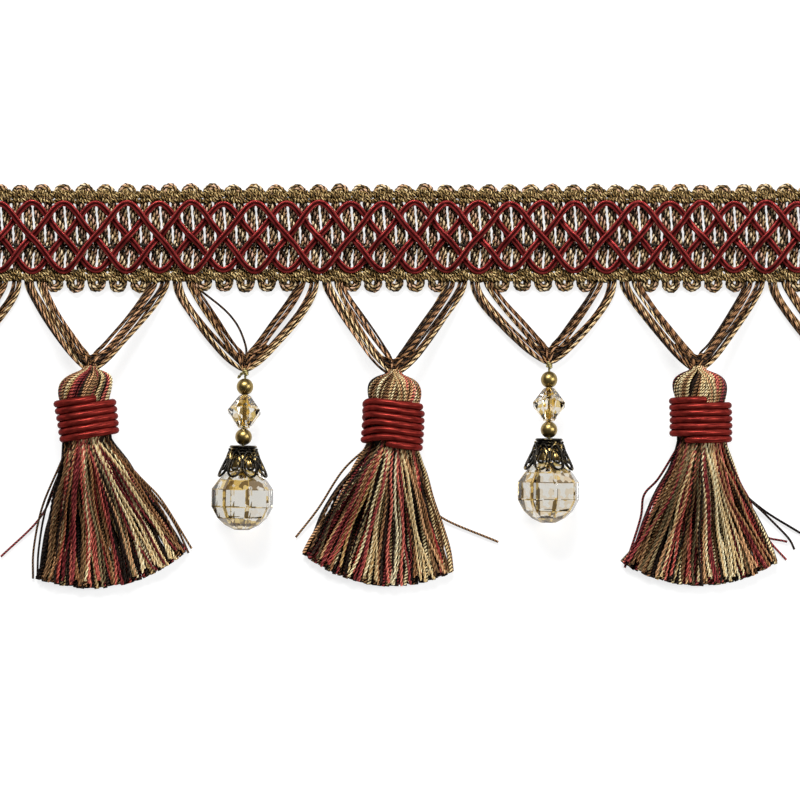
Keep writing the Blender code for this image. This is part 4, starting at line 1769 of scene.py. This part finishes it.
@dataclass
class BeadDrop:
    """A thread with two brass beads and a crystal bicone, over a filigree cap and a cut crystal ball.

    The beads' places on the thread are measured up the drop's own axis from the ball's middle.
    """

    number: int
    x: float
    y: float
    lean: float
    tail: bool = False
    thread_top: float = 30.4
    thread_radius: float = 0.34
    thread_lay: float = 1.6
    slope: float = math.radians(17.5)
    knot_turns: int = 3
    knot_length: float = 1.3
    brass_radius: float = 1.95
    brass_places: tuple[float, float] = (26.1, 14.5)
    bicone_place: float = 20.3
    bicone_turn: float = 20.0
    ball_facet_turn: float = 22.5
    petals: int = 8
    petal_points: int = 56
    petal_beads: int = 28
    petal_middle: float = 8.3
    petal_size: tuple[float, float] = (2.9, 1.72)
    grain_radius: float = 0.33

    @property
    def name(self) -> str:
        """The start of the drop's node names."""
        return f"drop_{self.number}"

    @property
    def middle(self) -> float:
        """The middle of the drop's unit."""
        return unit_middle(2 * self.number - 2)

    @property
    def carrier(self) -> Matrix:
        """The drop's own axes, with the ball's middle over their origin."""
        place = Matrix.Translation(((self.middle + self.x) * MM, self.y * MM, 0))
        return place @ Matrix.Rotation(math.radians(self.lean), 4, "Z")

    @property
    def ball_axes(self) -> Matrix:
        """The drop's own axes, raised to the ball's middle."""
        return self.carrier @ Matrix.Translation((0, 0, BALL_HEIGHT * MM))

    @property
    def apex(self) -> tuple[float, float, float]:
        """Work out where the hanger's legs meet, just over the thread's knot.

        Returns:
            The place.
        """
        reach = self.thread_top + 0.3
        lean = math.radians(self.lean)
        return (self.middle + self.x - reach * math.sin(lean), self.y + reach * math.cos(lean), 1.45)

    def string_height(self, along: float) -> float:
        """Height of the thread above the floor."""
        return BALL_HEIGHT - 0.1 - max(0.0, along - CAP_TOP) * math.tan(self.slope)

    def seat(self, along: float) -> Matrix:
        """The place of a strung bead, tipped along the thread."""
        place = Matrix.Translation((0, along * MM, self.string_height(along) * MM))
        return self.carrier @ place @ Matrix.Rotation(-self.slope, 4, "X")

    def placed(self, route: Sequence[Sequence[float]]) -> np.ndarray:
        """Move a line from the drop's own axes to the fringe's."""
        return put(np.array(route), self.lean, (self.middle + self.x, self.y, 0.0))

    def dress_brass(self, word: str, along: float) -> None:
        """Make one bored brass bead.

        Args:
            word: upper or lower.
            along: its place on the thread.
        """
        edge = math.asin(BORE / self.brass_radius)
        angles = np.linspace(edge, math.pi - edge, 15)
        profile = [(self.brass_radius * math.cos(a), self.brass_radius * math.sin(a)) for a in angles]
        node = f"{self.name}_brass_{word}"
        bead = lathe(profile, 32, self.seat(along))
        Skein(shapes=[(bead, BRASS)]).show(f"{node}_bead", "antique_brass", node)

    def dress_crystal(self, word: str, bead: bmesh.types.BMesh, place: Matrix) -> None:
        """Put a cut bead in its place and make its piece.

        Args:
            word: what the bead is.
            bead: the bead on the Y axis.
            place: where it goes.
        """
        bmesh.ops.transform(bead, matrix=place, verts=bead.verts)
        node = f"{self.name}_{word}"
        Skein(shapes=[(bead, CRYSTAL)]).show(f"{node}_crystal", "champagne_crystal", node)

    def dress_bicone(self, chance: random.Random) -> None:
        """Make the bored crystal bicone.

        Args:
            chance: the random numbers to draw from.
        """
        bead = cut_bead(BICONE, True, 0.0, 0.09)
        turn = Matrix.Rotation(math.radians(self.bicone_turn), 3, "Y")
        bmesh.ops.rotate(bead, cent=(0, 0, 0), matrix=turn, verts=bead.verts)
        tint_facets(bead, chance, 2.2, 1.1)
        self.dress_crystal("bicone", bead, self.seat(self.bicone_place))

    def dress_ball(self, chance: random.Random) -> None:
        """Make the cut crystal ball with the pit that takes the thread.

        Args:
            chance: the random numbers to draw from.
        """
        bead = cut_bead(BALL, False, self.ball_facet_turn, 0.1, 0.42)
        tint_facets(bead, chance, 3.3)
        self.dress_crystal("ball", bead, self.ball_axes @ Matrix.Rotation(BALL_TURN, 4, "Y"))

    def petal_wire(self, facing: float, scale: float, lift: float) -> np.ndarray:
        """The closed line of one rounded petal.

        Args:
            facing: the petal's direction from the axis in radians.
            scale: its size as a share of the outer petal.
            lift: how far it stands off the cap's cone.

        Returns:
            The wire's points.
        """
        long, wide = self.petal_size
        loop = []
        for turn in turns(self.petal_points):
            along = self.petal_middle - scale * long * math.cos(turn)
            aside = scale * wide * math.sin(turn) * (0.86 + 0.3 * math.cos(turn))
            loop.append(cone(along, facing, aside, lift))
        return self.placed(loop)

    def dress_cap(self) -> None:
        """Make the filigree cap of beaded wire petals over a gilt lining, with rings and grains."""
        wire = partial(Strand, finish=BLACK_BRASS, section=Section.ROUND, closed=True)
        shares = np.linspace(0, 1, self.petal_points)
        beaded = 0.82 + 0.3 * np.abs(np.sin(self.petal_beads * math.pi * shares))
        skein = Skein()
        grains = []
        for facing in turns(self.petals) + math.pi / self.petals:
            skein.add(wire(self.petal_wire(facing, 1.0, 0.1), 0.3, widths=beaded))
            skein.add(wire(self.petal_wire(facing, 0.5, 0.15), 0.2))
            grains += [cone(along, facing, aside, 0.2) for along, aside in GRAINS]
        for along, radius in ((CAP_TOP, 0.32), (10.9, 0.24)):
            skein.add(wire(self.placed([cone(along, turn) for turn in turns(24)]), radius))
        grains += [cone(CAP_TOP - 0.6, turn, lift=0.15) for turn in turns(14)]
        skein.shapes = [
            (self.grain_shape(grains), BLACK_BRASS),
            (lathe(COLLAR, 24, self.ball_axes), BLACK_BRASS),
            (lathe(LINING, 24, self.ball_axes), GILT_BRASS),
        ]
        node = f"{self.name}_cap"
        skein.show(f"{node}_filigree", "dark_filigree", node)

    def grain_shape(self, grains: Sequence[Sequence[float]]) -> bmesh.types.BMesh:
        """Make the small balls that are soldered on the cap.

        Args:
            grains: their places in the drop's own axes.

        Returns:
            All the balls.
        """
        made = bmesh.new()
        for x, y, z in self.placed(grains):
            place = Matrix.Translation((x * MM, y * MM, z * MM))
            bmesh.ops.create_icosphere(made, subdivisions=1, radius=self.grain_radius * MM, matrix=place)
        for face in made.faces:
            face.smooth = True
        return made

    def dress_thread(self) -> None:
        """Make the tying thread with its knot."""
        top = self.thread_top
        ply = partial(Strand, finish=TYING, lay=self.thread_lay)
        marks = np.linspace(3.7, top + 0.6, 60)
        line = np.array([(0.0, mark, self.string_height(mark)) for mark in marks])
        skein = Skein([ply(self.placed(even_route(line, 0.4)), self.thread_radius)])
        coil = []
        for share in np.linspace(0, 1, 37):
            turn = 2 * math.pi * self.knot_turns * share
            along = top - 1.5 + self.knot_length * share
            coil.append((0.5 * math.sin(turn), along, self.string_height(along) + 0.5 * math.cos(turn)))
        skein.add(Strand(self.placed(coil), 0.3, TYING, Section.ROUND))
        if self.tail:
            tail = smooth_route([(-0.3, top - 0.9, 1.5), (-0.9, top - 1.3, 1.7), (-1.7, top - 2.3, 1.3)], 0.3)
            skein.add(ply(self.placed(tail), 0.4))
        node = f"{self.name}_thread"
        skein.show(f"{node}_yarn", "tying_thread", node)

    def dress(self) -> None:
        """Make the drop and its hanger."""
        chance = random.Random(200 + self.number)
        upper, lower = self.brass_places
        self.dress_thread()
        self.dress_brass("upper", upper)
        self.dress_bicone(chance)
        self.dress_brass("lower", lower)
        self.dress_cap()
        self.dress_ball(chance)
        Hanger(
            self.name, self.middle, self.apex, drop=3.7, sink=1.0, seed=70 + 10 * self.number,
            parting=(1.55, 1.65, 1.5, 1.05), stray=(3.6, 0.0) if self.number == 2 else (0.0, 0.0),
        ).dress()


# The fringe's hanging parts, from left to right: places are measured from the middle of each unit

TASSELS = (
    Tassel(
        1, -2.20, -42.56, 4.0, (-21.5, 43.0),
        (
            ((-4.6, -5, 0), (-8.6, -15, -4), (-13, -22.4, -6.3), (-22.4, -30.4, -6.6)),
            ((-4.6, -5, 0), (-6.6, -9.5, -1.2), (-11.8, -19.4, -4.6), (-14.6, -29, -6), (-15.3, -36, -6.5)),
            (
                (-4.4, -5, 0.3), (-6, -9.5, -0.8), (-10.9, -19.6, -4.4),
                (-13.4, -29, -5.9), (-14.3, -36.2, -6.4),
            ),
            ((4.4, -5, 0.5), (8.6, -11, -2), (12.4, -15.5, -4.4), (16, -20.2, -5.9), (22, -31.6, -6.5)),
            ((4.4, -5, 0.2), (8.2, -11, -2.4), (14.2, -18.6, -5.2), (18.3, -25.2, -6.2), (21.2, -32.6, -6.5)),
        ),
        skirt_order="KBTCRWRWTBGRGRSRTWRKGTRCGWCCWGCTB", head_order="WBTGWRWKTBWGSBWCGT", tuft=0.0,
        dark_share=0.28, wrap_pitch=1.62, wrap_lift=0.55, wrap_shift=0.5, wrap_taper=0.05,
        wrap_start=27.0, wrap_steps=BEHIND[:5], wrap_end=5.35, wrap_tilt=0.075,
    ),
    Tassel(
        2, -0.42, -43.50, -3.0, (-40.5, 26.5),
        (
            ((4.6, -5, 0), (9.4, -17.5, -4), (13, -21.5, -6.2), (25.9, -26.2, -6.6)),
            ((-4.8, -5, 0), (-11, -11.4, -3.2), (-16.3, -20.6, -5.8), (-21.2, -27.6, -6.6)),
        ),
        skirt_order="BKSTCWRGBGWKGRWRCWGCTKWRCKTRWKTRCRCWBRTB", head_order="TBTGCBTGBGRTRCGTGT", tuft=15.0,
        skirt_length=32.2, wrap_pitch=1.54,
        wrap_start=95.0, wrap_steps=(*BEHIND[:3], 3.45, 4.4, 5.38), wrap_end=6.3, wrap_tilt=-0.07,
    ),
    Tassel(
        3, 1.58, -42.56, 0.5, (-33.5, 34.5),
        (
            ((4.6, -5, 0), (9, -15.5, -3.6), (14.5, -21, -5.9), (23.3, -26.6, -6.6)),
            ((4.6, -5, 0.3), (9.4, -17, -4), (13.2, -23, -6), (15.8, -28, -6.5), (20, -32.8, -6.6)),
            (
                (4.6, -5, 0.6), (9.6, -16.2, -3.9), (15.2, -22.2, -5.9),
                (20.4, -27.6, -6.4), (21.9, -30.4, -6.5),
            ),
            ((4.6, -5, 0.4), (9.2, -14.8, -3.2), (11.6, -19.2, -5), (14, -26.6, -6.3), (20.2, -28.6, -6.5)),
            (
                (-4.6, -5, 0), (-9.6, -13.4, -3.6), (-13, -17.4, -5.6),
                (-13.9, -23.1, -6.5), (-17.6, -34.3, -6.5),
            ),
        ),
        skirt_order="WBTSBTSGTCWRCGBTRSCTGCGWKCGCCTGSTRTRWTB", head_order="BGSCBGSBTGCGRRTTWWKGG", tuft=22.0,
        skirt_length=33.0, flare=1.28, dark_share=0.2, wrap_pitch=1.52,
        wrap_start=8.0, wrap_end=6.14, wrap_tilt=0.02,
    ),
)
DROPS = (
    BeadDrop(1, 0.10, -60.30, 0.6),
    BeadDrop(2, -0.68, -61.05, -1.1, tail=True),
    BeadDrop(3, 0.92, -59.40, -0.7),
    BeadDrop(4, -0.20, -60.20, 0.4),
)


# Studio

@dataclass
class Studio:
    """A pale floor, a wide soft light, a weak side light and a camera that looks straight down."""

    centre: tuple[float, float] = (1.21, -38.02)
    view_width: float = 186.05
    camera_height: float = 1200.0
    sensor: float = 36.0
    floor_width: float = 8000.0
    floor_depth: float = 0.15
    world_colour: Colour = (0.95, 0.97, 1.0, 1)
    world_strength: float = 0.10

    def add_floor(self) -> None:
        """Lay the floor just under the fringe."""
        made = bmesh.new()
        bmesh.ops.create_grid(made, x_segments=8, y_segments=8, size=self.floor_width / 2 * MM)
        bmesh.ops.translate(made, vec=(0, 0, -self.floor_depth * MM), verts=made.verts)
        mesh = bpy.data.meshes.new("floor")
        made.to_mesh(mesh)
        made.free()
        mesh.materials.append(FLOOR.material())
        floor = bpy.data.objects.new("floor", mesh)
        bpy.context.collection.objects.link(floor)

    def add_light(
        self, name: str, x: float, y: float, height: float, size: tuple[float, float], power: float
    ) -> None:
        """Hang a soft light that faces the fringe.

        Args:
            name: the light's name.
            x: its place across, in millimetres.
            y: its place along, in millimetres.
            height: its height in millimetres.
            size: its width and length in millimetres.
            power: its power in watts.
        """
        lamp = bpy.data.lights.new(name, "AREA")
        lamp.shape = "RECTANGLE"
        lamp.size, lamp.size_y = size[0] * MM, size[1] * MM
        lamp.energy = power
        thing = bpy.data.objects.new(name, lamp)
        bpy.context.collection.objects.link(thing)
        place = Matrix.Translation((x * MM, y * MM, height * MM))
        aim = place.translation - Matrix.Translation((0, self.centre[1] * MM, 0)).translation
        thing.matrix_world = place @ aim.to_track_quat("Z", "Y").to_matrix().to_4x4()

    def add_world(self) -> None:
        """Fill the room with soft grey light."""
        world = bpy.data.worlds.new("room")
        world.use_nodes = True
        background = world.node_tree.nodes["Background"]
        background.inputs["Color"].default_value = self.world_colour
        background.inputs["Strength"].default_value = self.world_strength
        bpy.context.scene.world = world

    def add_camera(self) -> None:
        """Put the camera straight above the fringe."""
        data = bpy.data.cameras.new("camera")
        data.sensor_width = self.sensor
        data.lens = self.sensor * self.camera_height / self.view_width
        data.clip_end = 50.0
        camera = bpy.data.objects.new("camera", data)
        bpy.context.collection.objects.link(camera)
        camera.location = (self.centre[0] * MM, self.centre[1] * MM, self.camera_height * MM)
        bpy.context.scene.camera = camera

    def build(self) -> None:
        """Set up the whole studio."""
        self.add_camera()
        self.add_floor()
        self.add_light("light_wide", -150.0, 780.0, 760.0, (640.0, 300.0), 17.0)
        self.add_light("light_side", 800.0, 100.0, 650.0, (350.0, 600.0), 7.0)
        self.add_world()
        bpy.context.scene.view_settings.view_transform = "Standard"


def main() -> None:
    """Build the studio and every piece."""
    logging.basicConfig(level=logging.INFO, format="%(name)s %(message)s", stream=sys.stdout)
    Studio().build()
    Heading().dress(Lattice().dress())
    for tassel in TASSELS:
        tassel.dress()
    for drop in DROPS:
        drop.dress()


if __name__ == "__main__":
    main()
